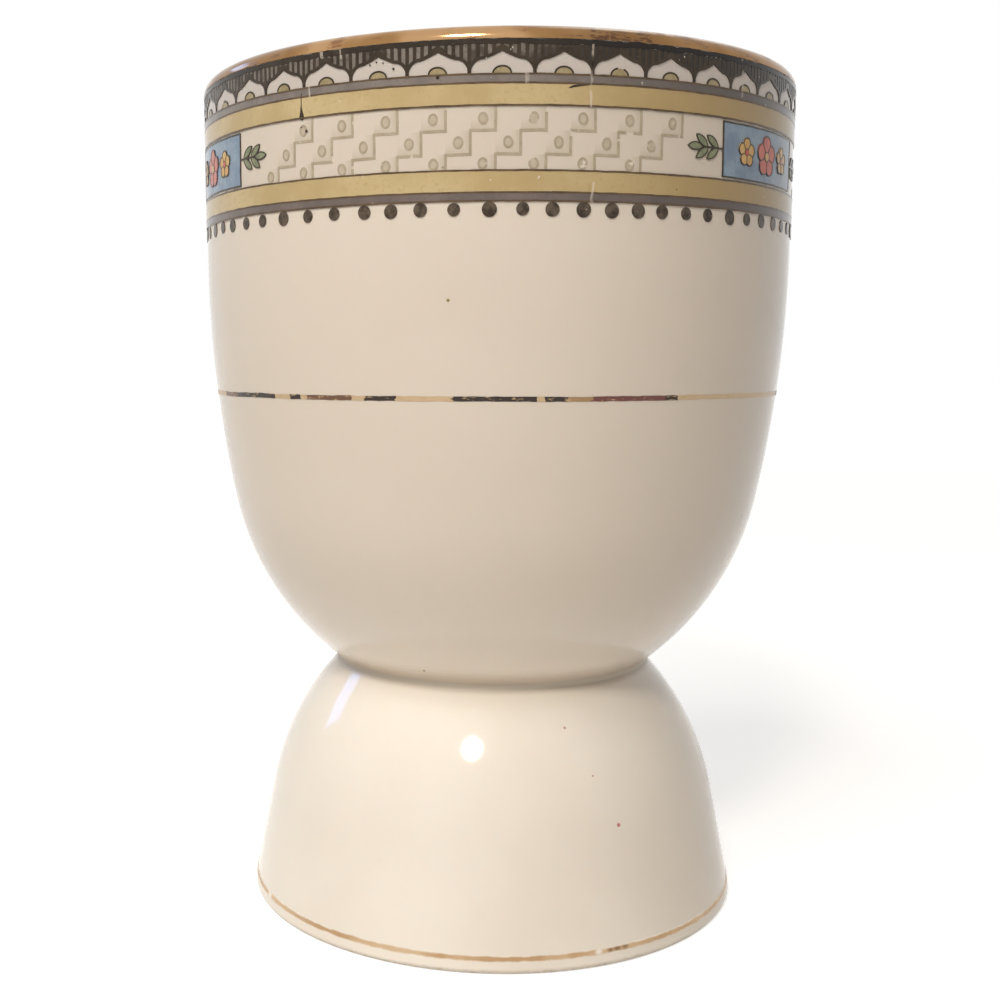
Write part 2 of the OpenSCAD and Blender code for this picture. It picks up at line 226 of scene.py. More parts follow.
def make_lamp(name, at_mm, size_mm, watts, colour, tall_mm=None, roll=0.0):
    data = bpy.data.lights.new(name, "AREA")
    data.shape = "RECTANGLE" if tall_mm else "ELLIPSE"
    data.size = size_mm * MM
    data.size_y = (tall_mm or size_mm) * MM
    data.energy = watts
    data.color = linear(colour)[:3]
    lamp = bpy.data.objects.new(name, data)
    lamp.location = Vector(at_mm) * MM
    away = lamp.location - LAMP_AIM_MM * MM
    rolled = Quaternion((0, 0, 1), math.radians(roll))
    lamp.rotation_euler = (away.to_track_quat("Z", "Y") @ rolled).to_euler()
    scene.collection.objects.link(lamp)
    return lamp


def shown_behind(tree):
    """1 for the rays that see the background: the camera's, and those in gloss and glass."""
    camera, gloss, glass = (add(tree, "ShaderNodeLightPath", want=ray) for ray in (
        "Is Camera Ray", "Is Glossy Ray", "Is Transmission Ray"))
    return camera | gloss | glass


def make_world():
    world = bpy.data.worlds.new("studio")
    scene.world = world
    tree = blank_tree(world)
    soft = add(tree, "ShaderNodeBackground", {"Color": ROOM_WHITE, "Strength": ROOM_LIGHT})
    white = add(tree, "ShaderNodeBackground", {"Color": PURE_WHITE, "Strength": 1.0})
    mix = add(tree, "ShaderNodeMixShader", {0: shown_behind(tree), 1: soft, 2: white})
    add(tree, "ShaderNodeOutputWorld", {"Surface": mix})


def make_floor():
    mesh = bpy.data.meshes.new("floor")
    corners = [(x * FLOOR_HALF, y * FLOOR_HALF, 0) for x, y in ((-1, -1), (1, -1), (1, 1), (-1, 1))]
    mesh.from_pydata(corners, [], [(0, 1, 2, 3)])
    floor = bpy.data.objects.new("floor", mesh)
    scene.collection.objects.link(floor)
    material, place = new_material("white_paper_floor")
    tree = place.tree
    paper = add(tree, "ShaderNodeBsdfDiffuse", {"Color": PAPER_WHITE})
    away = add(tree, "ShaderNodeVectorMath", {0: place}, "Value", operation="LENGTH")
    glow = add(tree, "ShaderNodeMapRange", {
        "Value": away, "From Min": LIFT_FROM, "From Max": LIFT_TO,
        "To Min": FLOOR_LIFT_NEAR, "To Max": FLOOR_LIFT_FAR})
    lift = add(tree, "ShaderNodeEmission", {
        "Color": PURE_WHITE, "Strength": shown_behind(tree) * glow})
    both = add(tree, "ShaderNodeAddShader", {0: paper, 1: lift})
    add(tree, "ShaderNodeOutputMaterial", {"Surface": both})
    mesh.materials.append(material)


make_world()
make_floor()
for lamp in (make_lamp("key", (-303, -385, 680), 380, 2.3, KEY_WHITE),
             make_lamp("fill", (-190, -520, 120), 300, 0.2, KEY_WHITE)):
    lamp.visible_glossy = False
window = make_lamp("window", (-1690, 954, 872), 660, 3.4, WINDOW_BLUE, tall_mm=330, roll=-37.0)
window.visible_diffuse = False
make_lamp("lens_lamp", (-80, -365, 376), 90, 0.85, LAMP_WARM)
print("Lamps:", len(bpy.data.lights))


# %% [markdown]
# ## The outline of the two bowls
# A jigger shapes each bowl with a profile blade, so its outline is a few arcs that run into each
# other. The same arcs are used here as in the solid model, at a finer step, because a glossy
# glaze shows every flat that a coarse outline would leave. Both bowls end in one long curve to the
# waist, so one function works out the curve, the floor and the rounded corner of either.

# %% Sizes
def span(node):
    """Lowest and highest height of a CAD node, in millimetres."""
    low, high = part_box(node)
    return low.z / MM, high.z / MM


CUP_H, LARGE_R = span("large_cup")[1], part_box("large_cup")[1].x / MM
LARGE_SEAT_Z, SMALL_SEAT_Z = span("large_cup")[0], span("small_cup")[1]
WALL, WAIST_R, WAIST_FILLET_R = 2.4, 17.5, 0.5
BOWL_H, SIDE_CURVE_R, SIDE_CURVE_TURN = 44.3, 126.0, 12.0
LARGE_CORNER_R, LARGE_FLOOR_T = 15.0, 2.8
FOOT_R, FOOT_EDGE_R, FLARE_H, FLARE_LEAN = 27.6, 0.7, 11.9, 11.4
SMALL_CORNER_R, SMALL_DOME_T = 10.0, 2.8
LIP_R = WALL / 2
FINE_TURN, ROUND_TURN, LATHE_SEGMENTS = 1.5, 7.5, 360
print(f"Cup: {CUP_H:.1f} mm high, {2 * LARGE_R:.1f} mm across")


def toward(turn):
    """The direction at a turn in degrees, in the plane of the outline."""
    return Vector((math.cos(math.radians(turn)), math.sin(math.radians(turn))))


def arc(centre, radius, start, end, step=FINE_TURN):
    """Points of an arc without its first one."""
    count = max(1, math.ceil(abs(end - start) / step))
    return [centre + radius * toward(start + (end - start) * i / count)
            for i in range(1, count + 1)]


def turn_to(start, end):
    return math.degrees(math.atan2(end.y - start.y, end.x - start.x))


# %% The curve of a bowl
def make_bowl(start, lean, seat_z, up, floor_t, corner_r):
    """A bowl's curve from its wall at a lean to its seat; up is 1 or -1, the way that it closes."""
    way = Vector((WAIST_R, seat_z)) - start
    radius = -way.length_squared / (2 * way.dot(toward(lean)))
    centre = start - radius * toward(lean)
    floor_z, reach = seat_z - up * floor_t, radius - WALL - corner_r
    turn = math.degrees(math.asin((floor_z - up * corner_r - centre.y) / reach))
    corner = centre + reach * toward(turn)
    inside = ([Vector((0, seat_z)), Vector((0, floor_z)), Vector((corner.x, floor_z))]
              + arc(corner, corner_r, 90 * up, turn) + arc(centre, radius - WALL, turn, lean))
    seat_turn = math.degrees(math.asin((seat_z - centre.y) / radius))
    return SimpleNamespace(centre=centre, radius=radius, lean=lean, inside=inside,
                           seat=Vector((0, seat_z)), seat_turn=seat_turn)


SEAM_Z = (LARGE_SEAT_Z + SMALL_SEAT_Z) / 2
SHOULDER_Z = SEAM_Z + BOWL_H
SIDE_CENTRE = Vector((LARGE_R - SIDE_CURVE_R, SHOULDER_Z))
SIDE_FOOT = SIDE_CENTRE + SIDE_CURVE_R * toward(-SIDE_CURVE_TURN)
LIP_CENTRE = Vector((LARGE_R - LIP_R, CUP_H - LIP_R))
LEAN_TAN, LEAN_COS = math.tan(math.radians(FLARE_LEAN)), math.cos(math.radians(FLARE_LEAN))
FLARE_TOP = Vector((FOOT_R - FLARE_H * LEAN_TAN, FLARE_H))
OUTER_EDGE = Vector((FOOT_R - FOOT_EDGE_R * (LEAN_TAN + 1 / LEAN_COS), FOOT_EDGE_R))
INNER_EDGE = Vector((FOOT_R - WALL / LEAN_COS - FOOT_EDGE_R * (LEAN_TAN - 1 / LEAN_COS),
                     FOOT_EDGE_R))
LARGE = make_bowl(SIDE_FOOT, -SIDE_CURVE_TURN, LARGE_SEAT_Z, -1, LARGE_FLOOR_T, LARGE_CORNER_R)
SMALL = make_bowl(FLARE_TOP, FLARE_LEAN, SMALL_SEAT_Z, 1, SMALL_DOME_T, SMALL_CORNER_R)

# %% Waist fillet, a circle that touches both bowls
way = LARGE.centre - SMALL.centre
reaches = [bowl.radius + WAIST_FILLET_R for bowl in (SMALL, LARGE)]
fillet_along = (way.length_squared + reaches[0] ** 2 - reaches[1] ** 2) / (2 * way.length)
fillet_aside = math.sqrt(reaches[0] ** 2 - fillet_along ** 2)
FILLET_CENTRE = (SMALL.centre + fillet_along * way.normalized()
                 + fillet_aside * Vector((way.y, -way.x)).normalized())
for bowl in (LARGE, SMALL):
    bowl.touch_turn = turn_to(bowl.centre, FILLET_CENTRE)
    bowl.touch = bowl.centre + bowl.radius * toward(bowl.touch_turn)
    bowl.neck = arc(bowl.centre, bowl.radius, bowl.touch_turn, bowl.seat_turn)
    bowl.outside = (arc(bowl.centre, bowl.radius, bowl.lean, bowl.touch_turn)
                    + bowl.neck + [bowl.seat])
print(f"Waist: {2 * (FILLET_CENTRE.x - WAIST_FILLET_R):.1f} mm across")


# %% The three outlines
def large_cup_outline():
    return (LARGE.inside
            + arc(SIDE_CENTRE, SIDE_CURVE_R - WALL, -SIDE_CURVE_TURN, 0, FINE_TURN / 2)
            + [Vector((LARGE_R - WALL, LIP_CENTRE.y))] + arc(LIP_CENTRE, LIP_R, 180, 0, ROUND_TURN)
            + [Vector((LARGE_R, SHOULDER_Z))]
            + arc(SIDE_CENTRE, SIDE_CURVE_R, 0, -SIDE_CURVE_TURN, FINE_TURN / 2) + LARGE.outside)


def small_cup_outline():
    return (SMALL.inside + [INNER_EDGE - FOOT_EDGE_R * toward(FLARE_LEAN)]
            + arc(INNER_EDGE, FOOT_EDGE_R, 180 + FLARE_LEAN, 270, ROUND_TURN)
            + [Vector((OUTER_EDGE.x, 0))]
            + arc(OUTER_EDGE, FOOT_EDGE_R, -90, FLARE_LEAN, ROUND_TURN)
            + [FLARE_TOP] + SMALL.outside)


def waist_slip_outline():
    start, end = turn_to(FILLET_CENTRE, SMALL.touch), turn_to(FILLET_CENTRE, LARGE.touch)
    return ([LARGE.seat, SMALL.seat] + SMALL.neck[::-1] + [SMALL.touch]
            + arc(FILLET_CENTRE, WAIST_FILLET_R, 360 + start, end, ROUND_TURN)
            + LARGE.neck + [LARGE.seat])


# %% Places on the wall
def outer_r(z):
    """Outer radius of the cup at a height, from the straight wall down to the flare."""
    if z >= SHOULDER_Z:
        return LARGE_R
    if z < FLARE_H:
        return FOOT_R - z * LEAN_TAN
    bowl = LARGE if z >= SEAM_Z else SMALL
    centre, radius = ((SIDE_CENTRE, SIDE_CURVE_R) if z >= SIDE_FOOT.y
                      else (bowl.centre, bowl.radius))
    return centre.x + math.sqrt(radius ** 2 - (z - centre.y) ** 2)


def on_cup(turn, z):
    """The point of the outside at a turn in degrees from the front and a height."""
    aside = toward(turn)
    return Vector((outer_r(z) * aside.y, -outer_r(z) * aside.x, z)) * MM


def turn_of(place):
    """The turn in degrees from the front of the cup."""
    return place.part(0).maths("ARCTAN2", place.part(1) * -1.0).maths("DEGREES")


def near_spots(place, spots, soft_mm=0.05):
    """1 near each spot of the outside, given by its turn, height and radius in millimetres."""
    near = 0.0
    for turn, z, radius in spots:
        off = add(place.tree, "ShaderNodeVectorMath", {0: place, 1: on_cup(turn, z)}, "Value",
                  operation="DISTANCE")
        near = ramp(off, (radius + soft_mm) * MM, (radius - soft_mm) * MM) | near
    return near


# %% [markdown]
# ## A lathe in Geometry Nodes
# Every round piece here is an outline turned about the axis. The tree reads the outline's points
# from the object's own mesh, lays a grid with one column for each step of the turn, and moves
# each grid point to its outline point, turned. Merging closes the seam, the poles and the ends.

# %% Geometry Nodes helpers
MERGE_MM, SHARP_DEGREES = 0.0004, 40


def new_tree(name, inputs):
    """A geometry tree and its inputs as wires, from (name, socket type, value)."""
    tree = bpy.data.node_groups.new(name, "GeometryNodeTree")
    tree.interface.new_socket("Geometry", in_out="OUTPUT", socket_type="NodeSocketGeometry")
    for label, kind, value in [("Geometry", "Geometry", None), *inputs]:
        socket = tree.interface.new_socket(label, in_out="INPUT", socket_type="NodeSocket" + kind)
        if value is not None:
            socket.default_value = value
    given = tree.nodes.new("NodeGroupInput")
    return tree, {socket.name: Wire(tree, socket) for socket in given.outputs}


def close_tree(geometry, material):
    """Ends a tree in real geometry with its material."""
    tree = geometry.tree
    whole = add(tree, "GeometryNodeRealizeInstances", {0: geometry})
    painted = add(tree, "GeometryNodeSetMaterial", {0: whole, "Material": material})
    add(tree, "NodeGroupOutput", {0: painted})
    return tree


def grow(name, mesh, tree, **values):
    """Runs a tree on a mesh and gives back the result as a plain mesh object at the origin."""
    piece = bpy.data.objects.new(name, mesh)
    scene.collection.objects.link(piece)
    modifier = piece.modifiers.new(tree.name, "NODES")
    modifier.node_group = tree
    for item in tree.interface.items_tree:
        if item.in_out == "INPUT" and item.name in values:
            modifier[item.identifier] = values[item.name]
    graph = bpy.context.evaluated_depsgraph_get()
    made = bpy.data.meshes.new_from_object(piece.evaluated_get(graph), depsgraph=graph)
    piece.modifiers.remove(modifier)
    piece.data = made
    made.name = name
    return tidy(piece)


def tidy(piece):
    """Merges doubles, drops walls that stand back to back, and turns all faces outwards."""
    work = bmesh.new()
    work.from_mesh(piece.data)
    bmesh.ops.remove_doubles(work, verts=work.verts, dist=MERGE_MM * MM)
    bmesh.ops.dissolve_degenerate(work, edges=work.edges, dist=MERGE_MM * MM / 4)
    alike = {}
    for face in work.faces:
        alike.setdefault(frozenset(vert.index for vert in face.verts), []).append(face)
    doubled = [face for faces in alike.values() if len(faces) > 1 for face in faces]
    bmesh.ops.delete(work, geom=doubled, context="FACES_ONLY")
    bmesh.ops.recalc_face_normals(work, faces=work.faces)
    work.to_mesh(piece.data)
    work.free()
    piece.data.shade_smooth()
    piece.data.set_sharp_from_angle(angle=math.radians(SHARP_DEGREES))
    return piece


def finish_piece(piece, slot, *nodes):
    """Makes a piece ride with the cup, in the place of its nodes; its slot is not used."""
    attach(piece, "root")
    if nodes:
        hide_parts(*nodes)
    triangles = sum(len(face.vertices) - 2 for face in piece.data.polygons)
    print(f"{piece.name}: {triangles} triangles")


# %% Lathe tree
DRIFT_MM, RAGGED_MM, EDGE_APART = 9.0, 1.1, 40.0


def unsteady(place, size_mm, reach):
    """A hand's slips: a shift of up to about reach each way, along noise of the given size."""
    return (grain(place, size_mm, 1.0) - 0.5) * (reach * 3.0)


def make_lathe_tree():
    tree, given = new_tree("turned_outline", [
        ("Segments", "Int", LATHE_SEGMENTS), ("Drift", "Float", 0.0), ("Ragged", "Float", 0.0),
        ("Material", "Material", None)])
    outline = given["Geometry"]
    count = add(tree, "GeometryNodeAttributeDomainSize", {0: outline})
    grid = add(tree, "GeometryNodeMeshGrid", {
        "Vertices X": given["Segments"] + 1, "Vertices Y": count})
    index = add(tree, "GeometryNodeInputIndex")
    column = ((index + 0.5) / count).maths("FLOOR")
    turn = column / given["Segments"] * math.tau

    def from_outline(value, kind):
        return add(tree, "GeometryNodeSampleIndex", {
            "Geometry": outline, "Value": value, "Index": index - column * count}, data_type=kind)

    point = from_outline(add(tree, "GeometryNodeInputPosition"), "FLOAT_VECTOR")
    loose = from_outline(add(tree, "GeometryNodeInputNamedAttribute", {
        "Name": "loose"}, data_type="FLOAT"), "FLOAT")
    height = point.part(2)

    def at(z):
        return add(tree, "ShaderNodeCombineXYZ", {
            0: point.part(0) * turn.maths("COSINE"), 1: point.part(0) * turn.maths("SINE"), 2: z})

    stray = (unsteady(at(0.0), DRIFT_MM, given["Drift"])
             + unsteady(at(height * EDGE_APART), RAGGED_MM, given["Ragged"]))
    turned = add(tree, "GeometryNodeSetPosition", {
        "Geometry": grid, "Position": at(height + loose * stray)})
    merged = add(tree, "GeometryNodeMergeByDistance", {0: turned, "Distance": MERGE_MM * MM})
    return close_tree(merged, given["Material"])


LATHE_TREE = make_lathe_tree()


def turned(name, outline, material, segments=LATHE_SEGMENTS, drift=0.0, ragged=0.0, loose=()):
    """Turns a closed outline in millimetres; loose holds the share that each point may stray."""
    mesh = bpy.data.meshes.new(name)
    mesh.from_pydata([(p.x * MM, 0, p.y * MM) for p in outline],
                     [(i, i + 1) for i in range(len(outline) - 1)], [])
    strays = mesh.attributes.new("loose", "FLOAT", "POINT")
    for item, share in zip(strays.data, loose or [1.0 if drift or ragged else 0.0] * len(outline)):
        item.value = share
    return grow(name, mesh, LATHE_TREE, Segments=segments, Drift=drift * MM, Ragged=ragged * MM,
                Material=material)


# %% [markdown]
# ## Glazed porcelain
# Hard porcelain under a clear feldspar glaze: ivory, a little paler on the foot, partly as painted
# light, with faint clouds where the glaze is thicker, a hard mirror gloss, a slight orange peel
# that makes the highlights wobble, and a few specks of iron and of stray colour. A painted shade
# darkens the waist, where the glaze also pools. The standing edge is wiped bare before firing, so
# it is matt, greyer and dirtier. The border's pale tones lie in the glaze too, so its measures come
# first.

# %% Measures of the border
BAND_FOOT, BAND_TOP = span("lappet_band")
FIELD_FOOT, FIELD_TOP = span("stepped_fret")
FRET_COUNT, RISER_H = 45, 2.05
TREAD = math.pi * LARGE_R / FRET_COUNT
RISERS = math.ceil((FIELD_TOP - FIELD_FOOT) / RISER_H)
PANELS, PANEL_TURN, PANEL_W = 3, 55.0, 24.3
# Turn from a riser at the top of the field to the middle of its stair, and the half turn of a
# panel with a stair
STAIR_TURN = (RISERS - 1) * math.degrees(TREAD / LARGE_R) / 2
CLEAR_TURN = math.degrees((PANEL_W + (RISERS - 1) * TREAD) / LARGE_R) / 2

# %% Porcelain material
# The foot's ivory is paler, partly from its glaze and partly as painted light.
IVORY, FOOT_IVORY_AND_PAINTED_LIGHT, IVORY_CLOUD = "#E6DACB", "#FCF3E6", "#DED0BE"
# The last of these colours darkens the waist: painted shade in its crease, with the glaze that
# pools there.
BARE_CLAY, EDGE_DIRT, WAIST_SHADE_AND_POOL = "#E6DDD1", "#CDC2B3", "#B3A18C"
TONGUE_WASH, DARKER_FIELD_TONE, CORNER_TINT = "#CDC3BA", "#D9CCBC", "#C6B8A2"
CORNER_FADE_MM, FIELD_SHARE, WAIST_SHADE_SHARE = 1.25, 0.75, 0.6
# Heights over which the ivory turns to the foot's paler tone, which is partly painted light
PALER_AND_LIT_FROM_Z, PALER_AND_LIT_TO_Z = 40.0, 24.0
# Heights above and below the seam over which the waist's painted shade and pooled glaze spread
WAIST_SHADE_TOP_MM, WAIST_SHADE_FOOT_MM = (2.6, 0.3), (-0.9, -0.1)
CLOUD_MM, CLOUD_SHARE, PEEL_MM, PEEL_DEPTH_MM = 30.0, 0.35, 3.0, 0.02
BARE_EDGE_MM, BARE_RAGGED_MM = (0.9, 0.65), 0.5
GLAZE_IOR, GLAZE_ROUGHNESS, GLAZE_SPECULAR, MATT_EXTRA = 1.5, 0.09, 0.38, 0.6
STRAY_SPECKS = {
    "#6B4A3C": [(-20.8, 28.4, 0.13), (64.0, 44.0, 0.1), (158.0, 15.0, 0.12), (-112.0, 60.0, 0.1)],
    "#8A7A3C": [(-7.5, 65.4, 0.14), (121.0, 33.0, 0.1)],
    "#C98378": [(31.5, 13.5, 0.2)],
    "#CFA99A": [(21.5, 22.9, 0.14), (26.6, 18.4, 0.11)],
}


def corner_tint(place, height):
    """The soft tint of the fret, strongest at the riser and the tread of each of its cells."""
    column = turn_of(place) / (180 / FRET_COUNT)
    row = (FIELD_TOP * MM - height) / (RISER_H * MM)
    stair = (column.maths("FLOOR") + row.maths("FLOOR") + 1.0) / 2.0
    own = stair.maths("FRACT") < 0.25
    middle = stair * (360 / FRET_COUNT) - (STAIR_TURN + PANEL_TURN)
    off = middle.maths("WRAP", 180 / PANELS, -180 / PANELS).maths("ABSOLUTE")
    riser, tread = (ramp((1.0 - cells.maths("FRACT")) * size, CORNER_FADE_MM, -0.5)
                    for cells, size in ((column, TREAD), (row, RISER_H)))
    return own * (off > CLEAR_TURN) * (riser | tread)


def border_tones(place, height, colour):
    """Pale tones under the print, on the outside only: the tongues' wash, a darker field and the
    fret's corner tint.
    """
    level = add(place.tree, "ShaderNodeVectorMath", {0: place, 1: (1, 1, 0)}, operation="MULTIPLY")
    radius = add(place.tree, "ShaderNodeVectorMath", {0: level}, "Value", operation="LENGTH")
    outside = radius > (LARGE_R - 0.5) * MM
    field = outside * between(height, FIELD_FOOT, FIELD_TOP)
    colour = blend(outside * between(height, BAND_FOOT, BAND_TOP), colour, TONGUE_WASH)
    # The field is a little darker than the body.
    colour = blend(field * FIELD_SHARE, colour, DARKER_FIELD_TONE)
    uneven = grain(place, 1.5, 3.0) * 0.9 + 0.45
    return blend(corner_tint(place, height) * uneven * field, colour, CORNER_TINT)


def orange_peel(place, size_mm, detail, strength):
    """The slight waves of a glaze, as a bump."""
    return add(place.tree, "ShaderNodeBump", {
        "Strength": strength, "Distance": PEEL_DEPTH_MM * MM,
        "Height": grain(place, size_mm, detail)})


def glazed_porcelain():
    material, place = new_material("glazed_porcelain")
    height = place.part(2)
    # Paler towards the foot: partly a paler glaze, partly painted light
    colour = blend(ramp(height, PALER_AND_LIT_FROM_Z * MM, PALER_AND_LIT_TO_Z * MM), IVORY, FOOT_IVORY_AND_PAINTED_LIGHT)
    cloud = ramp(grain(place, CLOUD_MM, 3.0), 0.35, 0.7) * CLOUD_SHARE
    colour = border_tones(place, height, blend(cloud, colour, IVORY_CLOUD))
    # Painted shade in the waist's crease, with glaze pooled there: darker and matt around the seam
    top, foot = (ramp(height - SEAM_Z * MM, start * MM, end * MM)
                 for start, end in (WAIST_SHADE_TOP_MM, WAIST_SHADE_FOOT_MM))
    shade_and_pool = top * foot * WAIST_SHADE_SHARE
    colour = blend(shade_and_pool, colour, WAIST_SHADE_AND_POOL)
    for speck, spots in STRAY_SPECKS.items():
        colour = blend(near_spots(place, spots), colour, speck)
    bare = ramp(height + grain(place, 1.2, 3.0) * (BARE_RAGGED_MM * MM),
                BARE_EDGE_MM[0] * MM, BARE_EDGE_MM[1] * MM)
    dirt = ramp(grain(place, 0.9, 4.0, 0.7), 0.45, 0.75)
    surface(place, Base_Color=blend(bare, colour, blend(dirt, BARE_CLAY, EDGE_DIRT)),
            Roughness=(bare | shade_and_pool) * MATT_EXTRA + GLAZE_ROUGHNESS, IOR=GLAZE_IOR,
            Specular_IOR_Level=GLAZE_SPECULAR, Subsurface_Weight=0.1, Subsurface_Scale=1.2 * MM,
            Normal=orange_peel(place, PEEL_MM, 1.0, 0.12))
    return material


PORCELAIN = glazed_porcelain()

# %% The bowls and the slip between them
finish_piece(turned("large_bowl", large_cup_outline(), PORCELAIN), "porcelain", "large_cup")
finish_piece(turned("small_bowl", small_cup_outline(), PORCELAIN), "porcelain", "small_cup")
finish_piece(turned("luting_slip", waist_slip_outline(), PORCELAIN), "porcelain", "waist_slip")


# %% [markdown]
# ## Bright gold, worn
# Liquid bright gold is brushed on the lip and the two lines and fired to a film that is thinner
# than paper. Hands and spoons rub it through, so it is brown and dull where it is thin, and gone in
# places. A metal film over a brown stain says this best: the wear sets how metallic it is.

# %% Gold of the lip
RICH_GOLD, DEEP_GOLD, RUBBED_GOLD = "#C39A6E", "#A47C50", "#8A5F38"
SHADED_SIDE_GOLD, BURNT_GOLD, BALD_LIP = "#7A5938", "#5E3B1C", "#E0CFBC"
GOLD_STREAK, FINE_STREAK = (1, 1, 4), (1, 1, 5)
LIP_DARKS = ((12.8, 88.3, 0.25), (13.3, 87.9, 0.2), (16.5, 88.3, 0.9), (20.0, 88.2, 1.0),
             (24.0, 88.0, 0.9), (96.0, 88.4, 1.0), (171.0, 88.2, 1.0))
BALD_FROM_Z, BALD_AREAS = 88.62, ((27.0, 88.9, 9.0), (-148.0, 88.9, 7.0))
# Painted shade on the gold towards both sides: where it starts, is full, and how much
SIDE_SHADE = ((2, 9, 0.7), (-17, -21, 0.6))


def lip_gold():
    """Gold in two tones, rubbed to brown in patches and bald along the top of the lip, with painted
    shade towards both sides.
    """
    material, place = new_material("worn_bright_gold_lip")
    worn = ramp(grain(place, 3.0, 4.0, 0.6, GOLD_STREAK), 0.55, 0.68)
    tone = ramp(grain(place, 6.0), 0.4, 0.6)
    colour = blend(worn, blend(tone, RICH_GOLD, DEEP_GOLD), RUBBED_GOLD)
    # Painted shade: darker gold towards the right and the left
    right, left = (ramp(place.part(0), start * MM, full * MM) * share
                   for start, full, share in SIDE_SHADE)
    colour = blend(right | left, colour, SHADED_SIDE_GOLD)
    fine = ramp(grain(place, 1.3, 3.0, 0.6, FINE_STREAK), 0.46, 0.56)
    dark = near_spots(place, LIP_DARKS, 0.2) * fine
    patches = ramp(grain(place, 5.0, 3.0), 0.34, 0.52) * near_spots(place, BALD_AREAS, 4.0)
    bald = patches * ramp(place.part(2), BALD_FROM_Z * MM, (BALD_FROM_Z + 0.2) * MM)
    colour = blend(bald, blend(dark, colour, BURNT_GOLD), BALD_LIP)
    dull = (worn | dark) * 0.7 | bald
    surface(place, Base_Color=colour, Metallic=1.0 - dull, Roughness=dull * 0.2 + 0.1)
    return material


LIP_GOLD = lip_gold()

# %% Gold of the two lines
# The line is thick in some stretches and thin in others. Its black stretches are painted
# reflection:
# the dark of the room that the thick gold mirrors.
PALE, TAN, BROWN, RED_BROWN, DARK_REFLECTION_BLACK = "#C4AA86", "#9F7F5A", "#6B4C38", "#6A3F38", "#2B2019"
BODY_SPECKS, FOOT_PALE, FOOT_TAN, FOOT_DARK = "#B79A72", "#D3B793", "#BD996F", "#86663F"
BODY_STRETCHES = (
    (-180, BROWN), (-171, PALE), (-158, DARK_REFLECTION_BLACK), (-139, TAN), (-126, PALE), (-104, DARK_REFLECTION_BLACK),
    (-97, RED_BROWN), (-83, PALE), (-66, BROWN), (-58, DARK_REFLECTION_BLACK), (-44.3, PALE), (-40.2, DARK_REFLECTION_BLACK),
    (-37.2, PALE), (-35.8, BROWN), (-26.0, PALE), (-23.2, DARK_REFLECTION_BLACK), (-18.2, PALE), (-7.2, DARK_REFLECTION_BLACK),
    (6.8, PALE), (7.5, DARK_REFLECTION_BLACK), (11.5, TAN), (15.5, RED_BROWN), (30.8, DARK_REFLECTION_BLACK), (32.8, PALE),
    (71.0, BROWN), (84.0, DARK_REFLECTION_BLACK), (101, TAN), (118, PALE), (139, RED_BROWN), (152, DARK_REFLECTION_BLACK),
    (166, TAN))
FOOT_LINE_GAPS = ((23.6, 1.75, 0.35), (-62.0, 1.7, 0.5), (131.0, 1.7, 0.6))
FOOT_LINE_DARKS = ((26.4, 1.75, 0.3), (28.0, 1.85, 0.4), (30.0, 1.85, 0.3), (164.0, 1.6, 0.4))
THIN_METAL = 0.3


def body_gold():
    """A gilt line whose stretches change along the turn, with ragged ends; its black stretches are
    painted reflection.
    """
    material, place = new_material("worn_bright_gold_body_line")
    turn = turn_of(place) + (grain(place, 0.7, 3.0) - 0.5) * 2.0
    colour = add(place.tree, "ShaderNodeValToRGB", {0: (turn + 180.0) / 360.0})
    stretches = colour.socket.node.color_ramp
    stretches.interpolation = "CONSTANT"
    while len(stretches.elements) < len(BODY_STRETCHES):
        stretches.elements.new(1.0)
    for stop, (start, tone) in zip(stretches.elements, BODY_STRETCHES):
        stop.position = (start + 180) / 360
        stop.color = linear(tone)
    specks = ramp(grain(place, 0.8, 4.0, 0.7, GOLD_STREAK), 0.56, 0.64)
    surface(place, Base_Color=blend(specks, colour, BODY_SPECKS), Metallic=THIN_METAL,
            Roughness=0.3)
    return material


def foot_gold():
    """The lowest line, nearly rubbed away where the cup is wiped and stacked."""
    material, place = new_material("worn_bright_gold_foot_line")
    colour = blend(ramp(grain(place, 7.0, 3.0, stretch=(1, 1, 2)), 0.38, 0.62), FOOT_PALE, FOOT_TAN)
    colour = blend(near_spots(place, FOOT_LINE_DARKS, 0.3), colour, FOOT_DARK)
    off = (place.part(2) - sum(span("foot_gilt_line")) / 2 * MM).maths("ABSOLUTE")
    frayed = off + (grain(place, 1.5, 3.0) - 0.5) * (0.35 * MM)
    bare = ramp(frayed, 0.12 * MM, 0.36 * MM) | near_spots(place, FOOT_LINE_GAPS, 0.3)
    surface(place, Base_Color=blend(bare, colour, FOOT_IVORY_AND_PAINTED_LIGHT), Metallic=(1.0 - bare) * THIN_METAL,
            Roughness=0.35)
    return material


BODY_GOLD, FOOT_GOLD = body_gold(), foot_gold()

# %% [markdown]
# ## Gilding on the lathe
# The banding wheel turns the cup under a still brush, so the gold is a lathe form too. Its edges
# drift and fray a little, which the lathe tree does to the points that are marked loose.

# %% Gilding
LAYER_T, INSET, LINE_LIFT = 0.08, 0.03, 0.03
RING_SEGMENTS = 720
LIP_GOLD_OUTER_H, LIP_GOLD_INNER_H = 1.13, 1.8


def ring_outline(low, high, lift):
    sides = [(low, -INSET), (low, lift), (high, lift), (high, -INSET), (low, -INSET)]
    return [Vector((outer_r(z) + out, z)) for z, out in sides]


